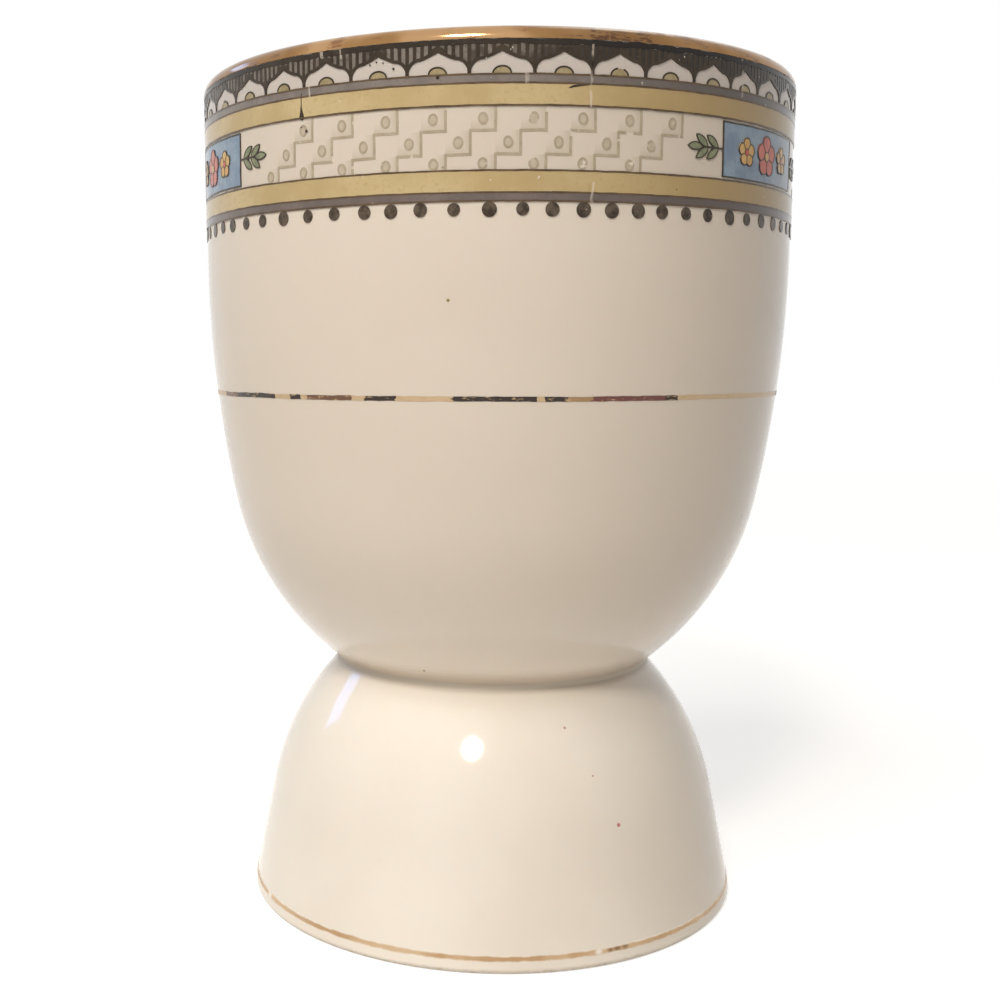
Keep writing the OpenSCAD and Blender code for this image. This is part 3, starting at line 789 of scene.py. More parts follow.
def lip_gold_outline():
    inner, foot = LARGE_R - WALL, CUP_H - LIP_GOLD_INNER_H
    key_top, lip_z = CUP_H - LIP_GOLD_OUTER_H, LIP_CENTRE.y
    return ([Vector((inner + INSET, foot)), Vector((inner + INSET, lip_z))]
            + arc(LIP_CENTRE, LIP_R - INSET, 180, 0, ROUND_TURN)
            + [Vector((LARGE_R - INSET, key_top)), Vector((LARGE_R + LAYER_T, key_top)),
               Vector((LARGE_R + LAYER_T, lip_z))]
            + arc(LIP_CENTRE, LIP_R + LAYER_T, 0, 180, ROUND_TURN)
            + [Vector((inner - LAYER_T, foot)), Vector((inner + INSET, foot))])


outline = lip_gold_outline()
ends = [1.0 if point.y < LIP_CENTRE.y - 0.01 else 0.0 for point in outline]
lip = turned("lip_gilding_worn", outline, LIP_GOLD, RING_SEGMENTS, drift=0.1, ragged=0.06,
             loose=ends)
finish_piece(lip, "gold", "lip_gilding")
for node, gold, drift in (("body_gilt_line", BODY_GOLD, 0.05), ("foot_gilt_line", FOOT_GOLD, 0.06)):
    line = turned(node + "_worn", ring_outline(*span(node), LINE_LIFT), gold, RING_SEGMENTS, drift,
                  ragged=0.05)
    finish_piece(line, "gold", node)

# %% [markdown]
# ## Colours of the border print
# The border is a transfer: a skin of printed colours that is slid on to the wall and fired. It is
# narrower than the way round, so it goes on in pieces that crease and tear. Each tear is an upright
# line with no colour, and a shared node group finds them for all the colours at once.

# %% Tears of the transfer
# The turn of each tear from the front, its lowest and highest point, and its half width
TEARS = ((-26.0, 86.9, 88.4, 0.05), (-29.5, 87.2, 87.9, 0.16), (-32.3, 83.9, 85.0, 0.08),
         (4.9, 83.9, 85.0, 0.2), (15.35, 81.5, 87.4, 0.09), (15.8, 73.9, 75.7, 0.09),
         (46.0, 84.3, 87.7, 0.11), (101.0, 74.0, 80.0, 0.06), (152.0, 82.0, 88.0, 0.09),
         (-141.0, 73.0, 86.0, 0.07), (-88.0, 84.0, 88.0, 0.09))
TEAR_WANDER_MM, TEAR_SWAY_MM, TEAR_SHARE = 3.5, 1.2, 0.45
TEAR_EDGE_MM = (0.06, -0.03)


def make_tear_group():
    tree = bpy.data.node_groups.new("transfer_tears", "ShaderNodeTree")
    tree.interface.new_socket("Tear", in_out="OUTPUT", socket_type="NodeSocketFloat")
    place = add(tree, "ShaderNodeTexCoord", want="Object")
    sway = (grain(place, TEAR_WANDER_MM) - 0.5) * (TEAR_SWAY_MM * MM)
    tears = 0.0
    for turn, low, high, half in TEARS:
        cosine, sine = toward(turn)
        across, ahead = (add(tree, "ShaderNodeVectorMath", {0: place, 1: way}, "Value",
                             operation="DOT_PRODUCT")
                         for way in ((cosine, sine, 0), (sine, -cosine, 0)))
        line = ramp((across + sway).maths("ABSOLUTE"),
                    *((half + edge) * MM for edge in TEAR_EDGE_MM))
        tears = line * (ahead > 0.0) * between(place.part(2), low, high) | tears
    whole = ramp(grain(place, 1.6), 0.36, 0.5) * TEAR_SHARE
    add(tree, "NodeGroupOutput", {0: tears * whole})
    return tree


TEAR_GROUP = make_tear_group()
print("Tears:", len(TEARS))


# %% Fired colours
SMEAR_MM, HEAVY_AND_SHADE_FROM_MM = 3.0, -1.0
# A black print is dense and dull, an enamel is rounder and glossier, and a print under the glaze
# has the gloss of the glaze.
BLACK_GLOSS = {"roughness": 0.16, "specular": 0.25}
ENAMEL_GLOSS, UNDERGLAZE_GLOSS = {"roughness": 0.14}, {"roughness": GLAZE_ROUGHNESS}


def fired_colour(name, colour, deep, wash_mm, roughness=0.15, worn_from=0.7, smear=None,
                 heavy_and_shade=None, heavy_and_shade_to=9.0, specular=GLAZE_SPECULAR):
    """A fired ceramic colour: washed unevenly, pocked with pinholes, torn where the skin tore.

    smear goes over it in patches. The tone given for the right darkens it towards the right:
    thicker print on the lip's black and the hatching, painted shade on the stripes and the yellow.
    """
    material, place = new_material(name)
    wash = ramp(grain(place, wash_mm, 3.0, 0.6), 0.35, 0.68)
    fine = ramp(grain(place, 0.35), 0.5, 0.8)
    tone = blend(fine, blend(wash, colour, deep), deep)
    if smear:
        tone = blend(ramp(grain(place, SMEAR_MM, 3.0, 0.6), 0.5, 0.62), tone, smear)
    # Darker towards the right: thicker print on the lip's black and the hatching, painted shade on
    # the stripes and the yellow
    if heavy_and_shade:
        tone = blend(ramp(place.part(0), HEAVY_AND_SHADE_FROM_MM * MM, heavy_and_shade_to * MM), tone, heavy_and_shade)
    worn = ramp(grain(place, 0.8, 3.0, 0.65), worn_from, worn_from + 0.06)
    torn = add(place.tree, "ShaderNodeGroup", node_tree=TEAR_GROUP)
    surface(place, Base_Color=blend(worn | torn, tone, IVORY), Roughness=roughness, IOR=GLAZE_IOR,
            Specular_IOR_Level=specular, Normal=orange_peel(place, 0.9, 2.0, 0.15))
    return material


# Cobalt-manganese black prints brown where it is thin, and sinks into the glaze.
INK = fired_colour("fired_black_print", "#352B1F", "#463A2B", wash_mm=2.0, **BLACK_GLOSS)
# The band's black is thicker under the lip, where the brush went over it.
LIP_INK = fired_colour("fired_black_line", "#2E261C", "#3C3226", wash_mm=2.0, heavy_and_shade="#1D1712",
                       heavy_and_shade_to=14.0, **BLACK_GLOSS)
BEAD_INK = fired_colour("fired_black_dabs", "#382D21", "#65584A", wash_mm=0.9, **BLACK_GLOSS)
# The thin lines are fainter, and so browner.
LINE_INK = fired_colour("fired_brown_line", "#54432F", "#6B563E", wash_mm=2.5, roughness=0.16,
                        specular=0.3)
# The hatching's ground is the same black, spread thin over white to a grey, and smeared. The
# piece of the transfer on the right is printed much heavier.
HATCH_GROUND = fired_colour("fired_grey_tint", "#857C72", "#6C645B", wash_mm=1.5, smear="#4E453C",
                            heavy_and_shade="#372F28", specular=0.25)
# Zinc-iron grey, laid flat as a wash, and browner in the lower stripe. Both greys are painted
# darker towards the right, as shade.
UPPER_GREY = fired_colour("fired_grey_enamel", "#887E76", "#786F69", wash_mm=3.0, heavy_and_shade="#5E554F",
                          heavy_and_shade_to=24.0)
LOWER_GREY = fired_colour("fired_brown_grey_enamel", "#7A6D66", "#6A5F59", wash_mm=3.0,
                          heavy_and_shade="#5F5450", heavy_and_shade_to=24.0)
# Naples yellow, laid with a brush in uneven washes, and painted darker towards the right as shade.
BAND_YELLOW = fired_colour("fired_yellow_enamel", "#CEB889", "#BFA775", wash_mm=7.0,
                           heavy_and_shade="#AF935F", heavy_and_shade_to=26.0, **ENAMEL_GLOSS)
BUFF = fired_colour("fired_buff_enamel", "#AC9D78", "#96875F", wash_mm=1.0)
# The fret is printed under the glaze, so its edges are soft and its gloss is the glaze's own.
FRET_GREY = fired_colour("underglaze_taupe_print", "#B9AB94", "#AC9D85", wash_mm=1.2,
                         worn_from=0.66, **UNDERGLAZE_GLOSS)
ROUNDEL_TINT = fired_colour("underglaze_roundel_tint", "#C9BCA7", "#BEB099", wash_mm=0.8,
                            worn_from=0.62, **UNDERGLAZE_GLOSS)
PANEL_BLUE = fired_colour("fired_blue_enamel", "#8DA3B6", "#7589A2", wash_mm=2.2, **ENAMEL_GLOSS)
PETAL_RED = fired_colour("fired_coral_red_enamel", "#D5664C", "#C04F38", wash_mm=0.9,
                         **ENAMEL_GLOSS)
PETAL_YELLOW = fired_colour("fired_orange_yellow_enamel", "#DDB467", "#CE9B4C", wash_mm=0.9,
                            **ENAMEL_GLOSS)
LEAF_OLIVE = fired_colour("fired_olive_enamel", "#8D9270", "#757B5A", wash_mm=0.8)
print("Materials:", len(bpy.data.materials))


# %% Rings of the border, from the lip down
KEY_LIFT = LAYER_T + 0.02


def make_ring(name, node, material, slot, drift=0.0, ragged=0.0, lift=LAYER_T):
    ring = turned(name, ring_outline(*span(node), lift), material, RING_SEGMENTS, drift, ragged)
    finish_piece(ring, slot, node)


make_ring("lip_key_line_print", "lip_key_line", LIP_INK, "ink", drift=0.04, ragged=0.12,
          lift=KEY_LIFT)
for which, grey in (("upper", UPPER_GREY), ("lower", LOWER_GREY)):
    make_ring(which + "_grey_wash", which + "_grey_stripe", grey, "grey_enamel")
    make_ring(which + "_yellow_wash", which + "_yellow_band", BAND_YELLOW, "yellow_enamel")

# %% [markdown]
# ## The thin dark lines
# Six thin lines part the stripes. Each is a ring of the lathe with the same hand's drift, so the
# line and the stripe below it part a little here and there, as they do when a skin stretches.

# %% Thin lines
KEY_LINE_W, KEY_OVERLAP = 0.12, 0.02
LINE_TOPS = [span(node)[1] + KEY_LINE_W for node in (
    "upper_grey_stripe", "upper_yellow_band", "stepped_fret", "lower_yellow_band",
    "lower_grey_stripe")] + [span("lower_grey_stripe")[0]]


def joined(name, *pieces):
    """Joins mesh objects into the first and names it."""
    with bpy.context.temp_override(active_object=pieces[0], selected_editable_objects=pieces):
        bpy.ops.object.join()
    pieces[0].name = name
    return pieces[0]


lines = [turned(f"line_{i}", ring_outline(top - KEY_LINE_W - KEY_OVERLAP, top + KEY_OVERLAP,
                                          KEY_LIFT), LINE_INK, RING_SEGMENTS, drift=0.025,
                ragged=0.035)
         for i, top in enumerate(LINE_TOPS)]
finish_piece(joined("thin_dark_lines", *lines), "ink", "key_lines")


# %% [markdown]
# ## Flat shapes for the print
# Each motif is drawn flat, in millimetres along the wall and up it, as an engraver draws it on the
# copper plate. Two forms are enough: a strip between two lines, and a fan from a point. A tree then
# sets copies out along the border, gives them thickness and wraps them round the wall.

# %% Strips and fans
def strip(first, second, closed=False):
    """Faces between two lines of equally many points, which may close into rings."""
    count = len(first)
    faces = [(i, (i + 1) % count, count + (i + 1) % count, count + i)
             for i in range(count if closed else count - 1)]
    return list(first) + list(second), faces


def fan(centre, rim):
    """Faces from a point to a closed rim."""
    count = len(rim)
    return [centre] + list(rim), [(0, i + 1, (i + 1) % count + 1) for i in range(count)]


def rounded(half_w, half_h, turns, centre=(0, 0)):
    """Points of an ellipse at some turns."""
    return [(centre[0] + half_w * math.cos(a), centre[1] + half_h * math.sin(a)) for a in turns]


def even_turns(count, whole=math.tau):
    """Turns all the way round, or from one end to the other of a part of it."""
    return [whole * i / count for i in range(count + (whole != math.tau))]


def ring_strip(centre, outer, inner):
    """A flat ring between two ellipses, given by their half widths and half heights."""
    return strip(*[rounded(*half, even_turns(24), centre) for half in (outer, inner)], True)


def disc(centre, half_w, half_h=None, count=20):
    return fan(centre, rounded(half_w, half_h or half_w, even_turns(count), centre))


def stroke(path, width, step=0.3):
    """A line of some width along a path of points, with square mitres at its corners."""
    fine = [Vector(path[0])]
    for start, end in zip(path, path[1:]):
        start, end = Vector(start), Vector(end)
        count = max(1, round((end - start).length / step))
        fine += [start.lerp(end, i / count) for i in range(1, count + 1)]
    sides = ([], [])
    for i, point in enumerate(fine):
        before = (point - fine[i - 1]).normalized() if i else None
        after = (fine[i + 1] - point).normalized() if i + 1 < len(fine) else None
        way = (before or after) + (after or before)
        normal = Vector((-way.y, way.x)).normalized()
        edge = normal.dot(Vector((-(after or before).y, (after or before).x)))
        half = (width(i / (len(fine) - 1)) if callable(width) else width) / 2 / max(edge, 0.5)
        sides[0].append(tuple(point + normal * half))
        sides[1].append(tuple(point - normal * half))
    return strip(*sides)


def moved(shape, across=0.0, up=0.0, turn=0.0, mirror=1):
    """A flat shape turned, mirrored and moved."""
    sine, cosine = math.sin(turn), math.cos(turn)
    points = [(across + mirror * (x * cosine - y * sine), up + x * sine + y * cosine)
              for x, y in shape[0]]
    return points, shape[1]


def together(shapes):
    """Several flat shapes as one."""
    points, faces = [], []
    for shape_points, shape_faces in shapes:
        base = len(points)
        points += shape_points
        faces += [tuple(base + i for i in face) for face in shape_faces]
    return points, faces


# %% The tree that prints a motif round the wall
LOST_MM, WOBBLE_MM = 1.6, (1.7, 2.3)


def make_print_tree():
    tree, given = new_tree("wrapped_print", [
        ("Shape", "Object", None), ("Radius", "Float", LARGE_R * MM),
        ("Bottom", "Float", INSET * MM), ("Top", "Float", LAYER_T * MM),
        ("Wobble", "Float", 0.0), ("Worn", "Float", 0.0), ("Material", "Material", None)])
    shape = add(tree, "GeometryNodeObjectInfo", {"Object": given["Shape"]}, "Geometry")
    stretch = add(tree, "GeometryNodeInputNamedAttribute", {"Name": "stretch"}, data_type="FLOAT")
    size = add(tree, "ShaderNodeCombineXYZ", {0: stretch, 1: 1.0, 2: 1.0})
    copies = add(tree, "GeometryNodeInstanceOnPoints", {
        "Points": given["Geometry"], "Instance": shape, "Scale": size})
    flat = add(tree, "GeometryNodeRealizeInstances", {0: copies})

    def on_wall(shift_turn, shift_up, out):
        here = add(tree, "GeometryNodeInputPosition")
        turn = here.part(0) / given["Radius"] + shift_turn
        radius = here.part(1) * out + given["Radius"]
        return add(tree, "ShaderNodeCombineXYZ", {
            0: radius * turn.maths("SINE"), 1: radius * turn.maths("COSINE") * -1.0,
            2: here.part(2) + shift_up})

    plain = on_wall(0.0, 0.0, 0.0)
    kept = add(tree, "GeometryNodeDeleteGeometry", {
        "Geometry": flat, "Selection": grain(plain, LOST_MM) < given["Worn"]}, domain="FACE")
    inwards = add(tree, "ShaderNodeCombineXYZ", {1: given["Bottom"] * -1.0})
    back = add(tree, "GeometryNodeSetPosition", {"Geometry": kept, "Offset": inwards})
    outwards = add(tree, "ShaderNodeCombineXYZ", {1: given["Bottom"] + given["Top"]})
    raised = add(tree, "GeometryNodeExtrudeMesh", {
        "Mesh": back, "Offset": outwards, "Individual": False})
    closed = add(tree, "GeometryNodeJoinGeometry", {0: raised})
    flipped = add(tree, "GeometryNodeFlipFaces", {0: back})
    tree.links.new(flipped.socket, closed.socket.node.inputs[0])
    along_wall, up_wall = (unsteady(plain, size_mm, given["Wobble"]) for size_mm in WOBBLE_MM)
    wrapped = add(tree, "GeometryNodeSetPosition", {
        "Geometry": closed, "Position": on_wall(along_wall / given["Radius"], up_wall, 1.0)})
    return close_tree(wrapped, given["Material"])


PRINT_TREE = make_print_tree()


def on_plate(name, points, faces=()):
    """A mesh drawn flat, from points in millimetres."""
    mesh = bpy.data.meshes.new(name)
    mesh.from_pydata([(x * MM, 0, z * MM) for x, z in points], [], faces)
    return mesh


def printed(name, shape, places, material, top=LAYER_T, wobble=0.0, worn=0.0, stretches=()):
    """Prints copies of a flat shape at places along and up the wall, all in millimetres."""
    plate = bpy.data.objects.new(name + "_plate", on_plate(name + "_drawn", *shape))
    scene.collection.objects.link(plate)
    spots = on_plate(name + "_spots", places)
    widths = spots.attributes.new("stretch", "FLOAT", "POINT")
    for item, stretch in zip(widths.data, stretches or [1.0] * len(places)):
        item.value = stretch
    piece = grow(name, spots, PRINT_TREE, Shape=plate, Top=top * MM, Wobble=wobble * MM,
                 Worn=worn, Material=material)
    bpy.data.objects.remove(plate)
    return piece


def along(turn):
    """Length along the wall for a turn in degrees from the front."""
    return math.radians(turn) * LARGE_R


def even_on(turns, steps):
    """Turns that go on from the last of some turns to the first, in even steps."""
    step = (360 + turns[0] - turns[-1]) / steps
    return [turns[-1] + (i + 1) * step for i in range(steps)]


# %% [markdown]
# ## The lappets
# A row of white tongues is left open in a hatched grey ground. So the ground is the shape to draw:
# for one pitch it is the strip between the tongue's edge and the top of the band. On it go the
# upright hatching, a dark outline that swells to a stem over each tip, and a buff half-round.

# %% Lappet shapes
LAPPETS, LAPPET_W, LAPPET_H = 39, 4.9, 1.85
LAPPET_PITCH, BAND_H = math.tau * LARGE_R / LAPPETS, BAND_TOP - BAND_FOOT
SHOULDER_OUT, SHOULDER_UP = 0.6 * LAPPET_W / 2, 0.64 * LAPPET_H
LAPPET_OUTLINE_W, TIP_EXTRA_W, TIP_REACH, TIP_SWEEP = 0.27, 0.3, 0.38, 1.25
HATCHES, HATCH_W = 8, 0.3
CENTRE_W, CENTRE_H, CENTRE_LINE_W, CENTRE_LINE_IN = 1.6, 0.6, 0.15, 0.07
# Turns of the valleys between the lappets across the front, where the skin was pulled about
VALLEYS = [-62.6, -52.8, -43.1, -33.7, -24.2, -14.3, -4.2, 6.1, 15.4, 24.6, 34.2, 42.9, 51.0, 60.4]


def lappet_edge():
    """The tongue's edge from its foot on the right, over the tip, to its foot on the left."""
    steps = [i / 10 for i in range(11)]
    right = rounded(LAPPET_W / 2 - SHOULDER_OUT, SHOULDER_UP, even_turns(10, math.pi / 2),
                    (SHOULDER_OUT, 0))
    right += [(SHOULDER_OUT * (1 - s), SHOULDER_UP + (LAPPET_H - SHOULDER_UP) * s ** TIP_SWEEP)
              for s in steps[1:]]
    return right + [(-x, z) for x, z in right[-2::-1]]


def lappet_outline():
    edge, widened, limit = [Vector(p) for p in lappet_edge()], [], LAPPET_PITCH / 2 - 0.01
    for i, point in enumerate(edge):
        way = edge[min(i + 1, len(edge) - 1)] - edge[max(i - 1, 0)]
        width = LAPPET_OUTLINE_W + TIP_EXTRA_W * math.exp(-(point.x / TIP_REACH) ** 2)
        far = point + Vector((way.y, -way.x)).normalized() * width
        widened.append((max(-limit, min(limit, far.x)), min(far.y, BAND_H + 0.05)))
    return strip([tuple(p) for p in edge], widened)


def lappet_ground():
    edge = [(LAPPET_PITCH / 2, 0)] + lappet_edge() + [(-LAPPET_PITCH / 2, 0)]
    return strip(edge, [(x, BAND_H) for x, _ in edge])


def hatching():
    """Upright lines from the tongue's edge to the top; the first stands between two tongues."""
    edge, bars = lappet_edge()[:21], []
    for i in range(HATCHES):
        x = (i / HATCHES - 0.5) * LAPPET_PITCH
        low = 0.0
        for (x1, z1), (x0, z0) in zip(edge, edge[1:]):
            if x0 <= abs(x) <= x1 and x1 > x0:
                low = z0 + (z1 - z0) * (abs(x) - x0) / (x1 - x0)
        heights = [low + 0.05 + (BAND_H - low) * k / 5 for k in range(6)]
        bars.append(strip(*[[(x + side * HATCH_W / 2, z) for z in heights] for side in (-1, 1)]))
    return together(bars)


def half_round(half_w, half_h):
    return rounded(half_w, half_h, even_turns(14, math.pi))


# %% Lappets on the wall
valleys = VALLEYS + even_on(VALLEYS, LAPPETS - len(VALLEYS) + 1)
lappet_spots = [(along((a + b) / 2), BAND_FOOT) for a, b in zip(valleys, valleys[1:])]
lappet_widths = [along(b - a) / LAPPET_PITCH for a, b in zip(valleys, valleys[1:])]
finish_piece(printed("hatched_ground", lappet_ground(), lappet_spots, HATCH_GROUND, top=0.05,
                     stretches=lappet_widths), "hatched_ground", "lappet_band")
finish_piece(joined(
    "lappet_lines",
    printed("hatching", hatching(), lappet_spots, INK, top=0.075, wobble=0.045, worn=0.3,
            stretches=lappet_widths),
    printed("lappet_outlines", lappet_outline(), lappet_spots, INK, top=0.085, wobble=0.03,
            stretches=lappet_widths)), "ink")
finish_piece(printed("lappet_centre_washes", fan((0, 0), half_round(CENTRE_W / 2, CENTRE_H)),
                     lappet_spots, BUFF, top=0.06, wobble=0.03),
             "buff_enamel", "lappet_centres")
centre_line = strip(*[half_round(CENTRE_W / 2 + out, CENTRE_H + out)
                      for out in (-CENTRE_LINE_IN, CENTRE_LINE_W - CENTRE_LINE_IN)])
finish_piece(printed("lappet_centre_lines", centre_line, lappet_spots, INK, top=0.08,
                     wobble=0.045, worn=0.36), "ink")

# %% [markdown]
# ## The stepped fret
# Pale lines step down to the left across the white field, with a roundel over each step; the soft
# tint of their corners is in the glaze already. One stepped line with its roundels is drawn once.
# It is set out at every pitch that stays clear of the flower panels, and parts are lost to wear.

# %% Fret
FRET_W, ROUNDEL_HALF, ROUNDEL_LINE_W, FILL_MARGIN = 0.24, (0.46, 0.54), 0.19, 0.05
FIELD_H = FIELD_TOP - FIELD_FOOT


def stair():
    """The fret's path from the top of the field down to its foot."""
    path = [(0.0, 0.0)]
    for i in range(RISERS):
        low = max(-FIELD_H, -(i + 1) * RISER_H)
        path.append((-i * TREAD, low))
        if low > -FIELD_H:
            path.append((-(i + 1) * TREAD, low))
    return path


def clear_of_panels(turn):
    off = min(abs((turn - STAIR_TURN - PANEL_TURN - k * 360 / PANELS + 180) % 360 - 180)
              for k in range(PANELS))
    return off > CLEAR_TURN


def smaller(by):
    return [half - by for half in ROUNDEL_HALF]


roundels = [(-(i + 0.5) * TREAD, max(-(i + 0.5) * RISER_H, ROUNDEL_HALF[1] - FIELD_H))
            for i in range(RISERS)]
fret_spots = [(along(turn), FIELD_TOP) for turn in (i * 360 / FRET_COUNT for i in range(FRET_COUNT))
              if clear_of_panels(turn)]
rings = together(ring_strip(spot, ROUNDEL_HALF, smaller(ROUNDEL_LINE_W)) for spot in roundels)
fills = together(disc(spot, *smaller(FILL_MARGIN)) for spot in roundels)
finish_piece(printed("fret_lines", stroke(stair(), FRET_W, step=0.25), fret_spots, FRET_GREY,
                     top=0.03, wobble=0.04, worn=0.36), "fret_grey", "stepped_fret")
finish_piece(printed("fret_roundel_rings", rings, fret_spots, FRET_GREY,
                     top=0.04, wobble=0.07, worn=0.36), "fret_grey", "fret_roundels")
finish_piece(printed("roundel_fills", fills, fret_spots, ROUNDEL_TINT,
                     top=0.02, wobble=0.07, worn=0.3), "fret_grey")

# %% [markdown]
# ## The flower panels
# Three panels part the fret: a blue ground with a red blossom between two yellow ones, and a leaf
# sprig on the white at each side. They are a plain pattern of this lesson's own, at the size and in
# the colours that such borders have. A blossom is five round petals, and its rim has a simple
# formula.

# %% Blossoms and leaves
PETALS, PETAL_REACH, PETAL_LINE_W = 5, 1.3, 0.09
RED_R, YELLOW_R, YELLOW_SPREAD = 0.85, 0.6, 3.9
STEM_W, LEAF_L, LEAF_W, LEAF_STEPS = 0.16, 1.9, 0.8, 9
LEAF_PITCH, LEAF_PAIRS, LEAF_LEAN = 1.35, 2, 35.0
ENAMEL_LINE_W, BLUE_W, BLUE_MARGIN, BLUE_LINE_W = 0.12, 15.0, 0.25, 0.14
EYE_SHARE, EYE_RING_SHARE, LEAF_LINE_SHARES, PART_SHARES = 0.45, 0.6, (0.86, 0.72), (0.55, 1.75)


def blossom_rim(petal_r):
    """The outer edge of five equal circles set round a middle."""
    reach, half, rim = petal_r * PETAL_REACH, math.pi / PETALS, []
    for turn in even_turns(60):
        off = (turn - math.pi / 2 + half) % (2 * half) - half
        far = reach * math.cos(off) + math.sqrt(petal_r ** 2 - (reach * math.sin(off)) ** 2)
        rim.append((far * math.cos(turn), far * math.sin(turn)))
    return rim


def blossom_lines(petal_r):
    """The lines of a blossom: its edge, the ring round its eye, and one between each two petals."""
    rim = blossom_rim(petal_r)
    parts = [strip(rim, [(x * s, z * s) for x, z in rim
                         for s in (1 - ENAMEL_LINE_W / math.hypot(x, z),)], True),
             ring_strip((0, 0), (EYE_RING_SHARE * petal_r,) * 2, (EYE_SHARE * petal_r,) * 2)]
    for i in range(PETALS):
        turn = math.pi / 2 + (i + 0.5) * math.tau / PETALS
        ends = [(share * petal_r * math.cos(turn), share * petal_r * math.sin(turn))
                for share in PART_SHARES]
        parts.append(stroke(ends, PETAL_LINE_W, 0.2))
    return together(parts)


def leaf_rim():
    curve_r = (LEAF_L ** 2 + LEAF_W ** 2) / (4 * LEAF_W)
    half = math.asin(LEAF_L / 2 / curve_r)
    upper = [(LEAF_L / 2 + curve_r * math.sin(a), curve_r * math.cos(a) - curve_r + LEAF_W / 2)
             for a in (half * (2 * i / LEAF_STEPS - 1) for i in range(LEAF_STEPS + 1))]
    return upper + [(x, -z) for x, z in upper[-2:0:-1]]


def on_sprig(part):
    """Sets a leaf part out along the sprig, in pairs and at its end."""
    return together([moved(part, LEAF_PAIRS * LEAF_PITCH)] + [
        moved(part, (pair + 0.5) * LEAF_PITCH, turn=side * math.radians(LEAF_LEAN))
        for pair in range(LEAF_PAIRS) for side in (-1, 1)])


def both_sides(shape):
    return together([moved(shape, BLUE_W / 2), moved(shape, -BLUE_W / 2, mirror=-1)])


def beside(shape):
    """A flat shape twice, at the places of the two yellow blossoms."""
    return together(moved(shape, side * YELLOW_SPREAD) for side in (-1, 1))


leaf = leaf_rim()
leaf_line = strip(leaf, [(LEAF_L / 2 + (x - LEAF_L / 2) * LEAF_LINE_SHARES[0],
                          z * LEAF_LINE_SHARES[1]) for x, z in leaf], True)
stem = stroke([(0, 0), (LEAF_PAIRS * LEAF_PITCH, 0)], STEM_W)
sprig_fill = on_sprig(fan((LEAF_L / 2, 0), leaf))
sprig_lines = together([on_sprig(leaf_line), stem])

# %% Panels on the wall
panel_spots = [(along(PANEL_TURN + i * 360 / PANELS), (FIELD_FOOT + FIELD_TOP) / 2)
               for i in range(PANELS)]
half_w, half_h = BLUE_W / 2, FIELD_H / 2 - BLUE_MARGIN
across = [BLUE_W * (i / 24 - 0.5) for i in range(25)]
ground = strip([(x, half_h) for x in across], [(x, -half_h) for x in across])
ground_line = stroke([(-half_w, -half_h), (-half_w, half_h), (half_w, half_h), (half_w, -half_h),
                      (-half_w, -half_h)], BLUE_LINE_W)
red_petals, yellow_petals = (fan((0, 0), blossom_rim(petal_r)) for petal_r in (RED_R, YELLOW_R))
flower_lines = together([blossom_lines(RED_R), beside(blossom_lines(YELLOW_R))])
red_eye, yellow_eye = (disc((0, 0), EYE_SHARE * petal_r) for petal_r in (RED_R, YELLOW_R))
finish_piece(printed("blue_ground", ground, panel_spots, PANEL_BLUE, top=0.06, wobble=0.05),
             "blue_enamel", "blue_panels")
finish_piece(printed("red_flower", red_petals, panel_spots, PETAL_RED, top=0.13, wobble=0.05),
             "red_enamel", "red_blossoms")
finish_piece(joined(
    "yellow_flowers",
    printed("yellow_petals", beside(yellow_petals), panel_spots, PETAL_YELLOW, top=0.13,
            wobble=0.05),
    printed("red_eye", red_eye, panel_spots, PETAL_YELLOW, top=0.16)),
    "orange_enamel", "yellow_blossoms")
finish_piece(printed("yellow_eyes", beside(yellow_eye), panel_spots, PETAL_RED, top=0.16),
             "red_enamel")
finish_piece(printed("leaves", both_sides(sprig_fill), panel_spots, LEAF_OLIVE, top=0.08,
                     wobble=0.04), "olive_enamel", "leaf_sprigs")
finish_piece(joined(
    "panel_lines",
    printed("ground_line", ground_line, panel_spots, INK, top=0.09, wobble=0.05),
    printed("flower_lines", flower_lines, panel_spots, INK, top=0.15, wobble=0.05),
    printed("sprig_lines", both_sides(sprig_lines), panel_spots, INK, top=0.1,
            wobble=0.04)), "ink")

# %% [markdown]
# ## Beads and flaws
# The row of dark beads hangs from the lowest line. The last print is what went wrong in the
# workshop: a drip of black from the hatching, some splashes, and specks of iron in the glaze.

# %% Beads
BEADS, BEAD_HALF_W, BEAD_HALF_H, BEAD_SHARES = 70, 0.62, 0.64, (0.92, 1.0, 1.07)
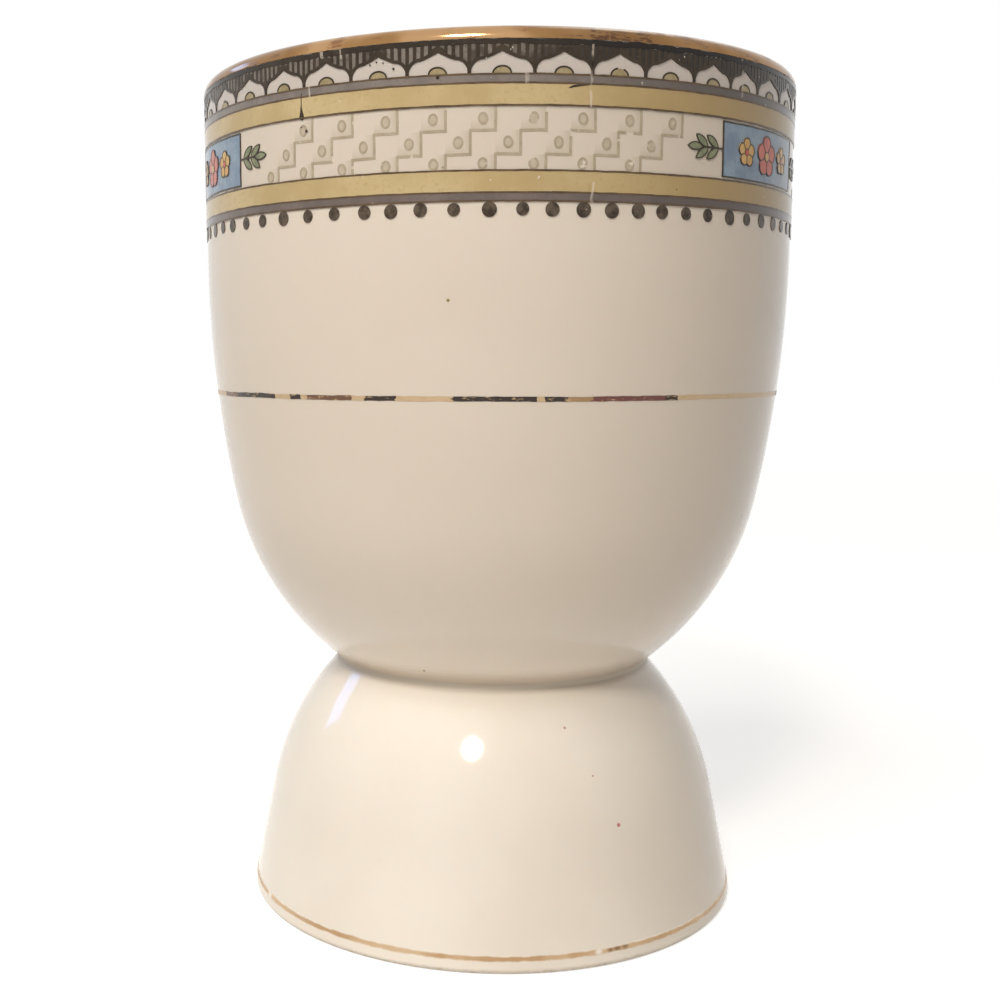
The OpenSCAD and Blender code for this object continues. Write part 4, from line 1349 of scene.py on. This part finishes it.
# Turns of the beads across the front, which are dabbed by hand; the others are about even
BEAD_TURNS = [-44.5, -38.8, -33.1, -27.6, -21.8, -17.1, -12.1, -6.6, -0.9, 4.4, 9.2, 14.3, 19.1,
              23.8, 28.3, 33.2, 38.1, 43.7]
SLIP_TURN, SLIP_MM = 0.25, 0.04
bead_z = span("bead_row")[1] - BEAD_HALF_H
chance = random.Random(11)
others = even_on(BEAD_TURNS, BEADS - len(BEAD_TURNS) + 1)[:-1]
bead_turns = BEAD_TURNS + [turn + chance.uniform(-SLIP_TURN, SLIP_TURN) for turn in others]
bead_sets = {share: [] for share in BEAD_SHARES}
for turn in bead_turns:
    bead_sets[chance.choice(BEAD_SHARES)].append(
        (along(turn), bead_z + chance.uniform(-SLIP_MM, SLIP_MM)))
beads = [printed(f"beads_{i}", disc((0, 0), BEAD_HALF_W * share, BEAD_HALF_H * share), places,
                 BEAD_INK, wobble=0.04) for i, (share, places) in enumerate(bead_sets.items())]
finish_piece(joined("bead_row_print", *beads), "ink", "bead_row")

# %% Flaws
DRIP_TURN, DRIP_TOP_Z, DRIP_FOOT_Z, DRIP_HALF_W, THREAD_HALF_W = -34.2, 84.4, 82.0, 0.39, 0.035
# Turn, height and radius of each splash, and the smear's path and width
SPLASHES = ((-33.2, 81.0, 0.13), (-34.3, 81.4, 0.05), (-9.2, 84.6, 0.16), (-20.7, 86.1, 0.07),
            (-19.6, 86.3, 0.07), (-18.4, 86.15, 0.06), (-16.6, 85.6, 0.1), (31.0, 75.4, 0.06),
            (-8.4, 77.0, 0.05), (143.0, 79.0, 0.12), (-122.0, 85.1, 0.1))
SMEAR_PATH = ((11.5, 83.62), (12.3, 83.8), (13.8, 83.92), (15.0, 83.98))


def drip():
    """A teardrop: a thread that swells just above its foot."""
    points = [(THREAD_HALF_W + DRIP_HALF_W * s ** 3 * math.sin(math.pi * s ** 3) ** 0.6,
               DRIP_TOP_Z + (DRIP_FOOT_Z - DRIP_TOP_Z) * s) for s in (i / 16 for i in range(17))]
    return strip([(-x, z) for x, z in points], points)


def smear_w(share):
    return 0.06 + 0.15 * math.sin(math.pi * share ** 0.8)


flaws = [moved(drip(), along(DRIP_TURN)),
         stroke([(along(turn), z) for turn, z in SMEAR_PATH], smear_w)]
flaws += [moved(disc((0, 0), size, count=10), along(turn), z) for turn, z, size in SPLASHES]
finish_piece(printed("ink_splashes", together(flaws), [(0, 0)], INK, top=0.1, wobble=0.05),
             "ink")
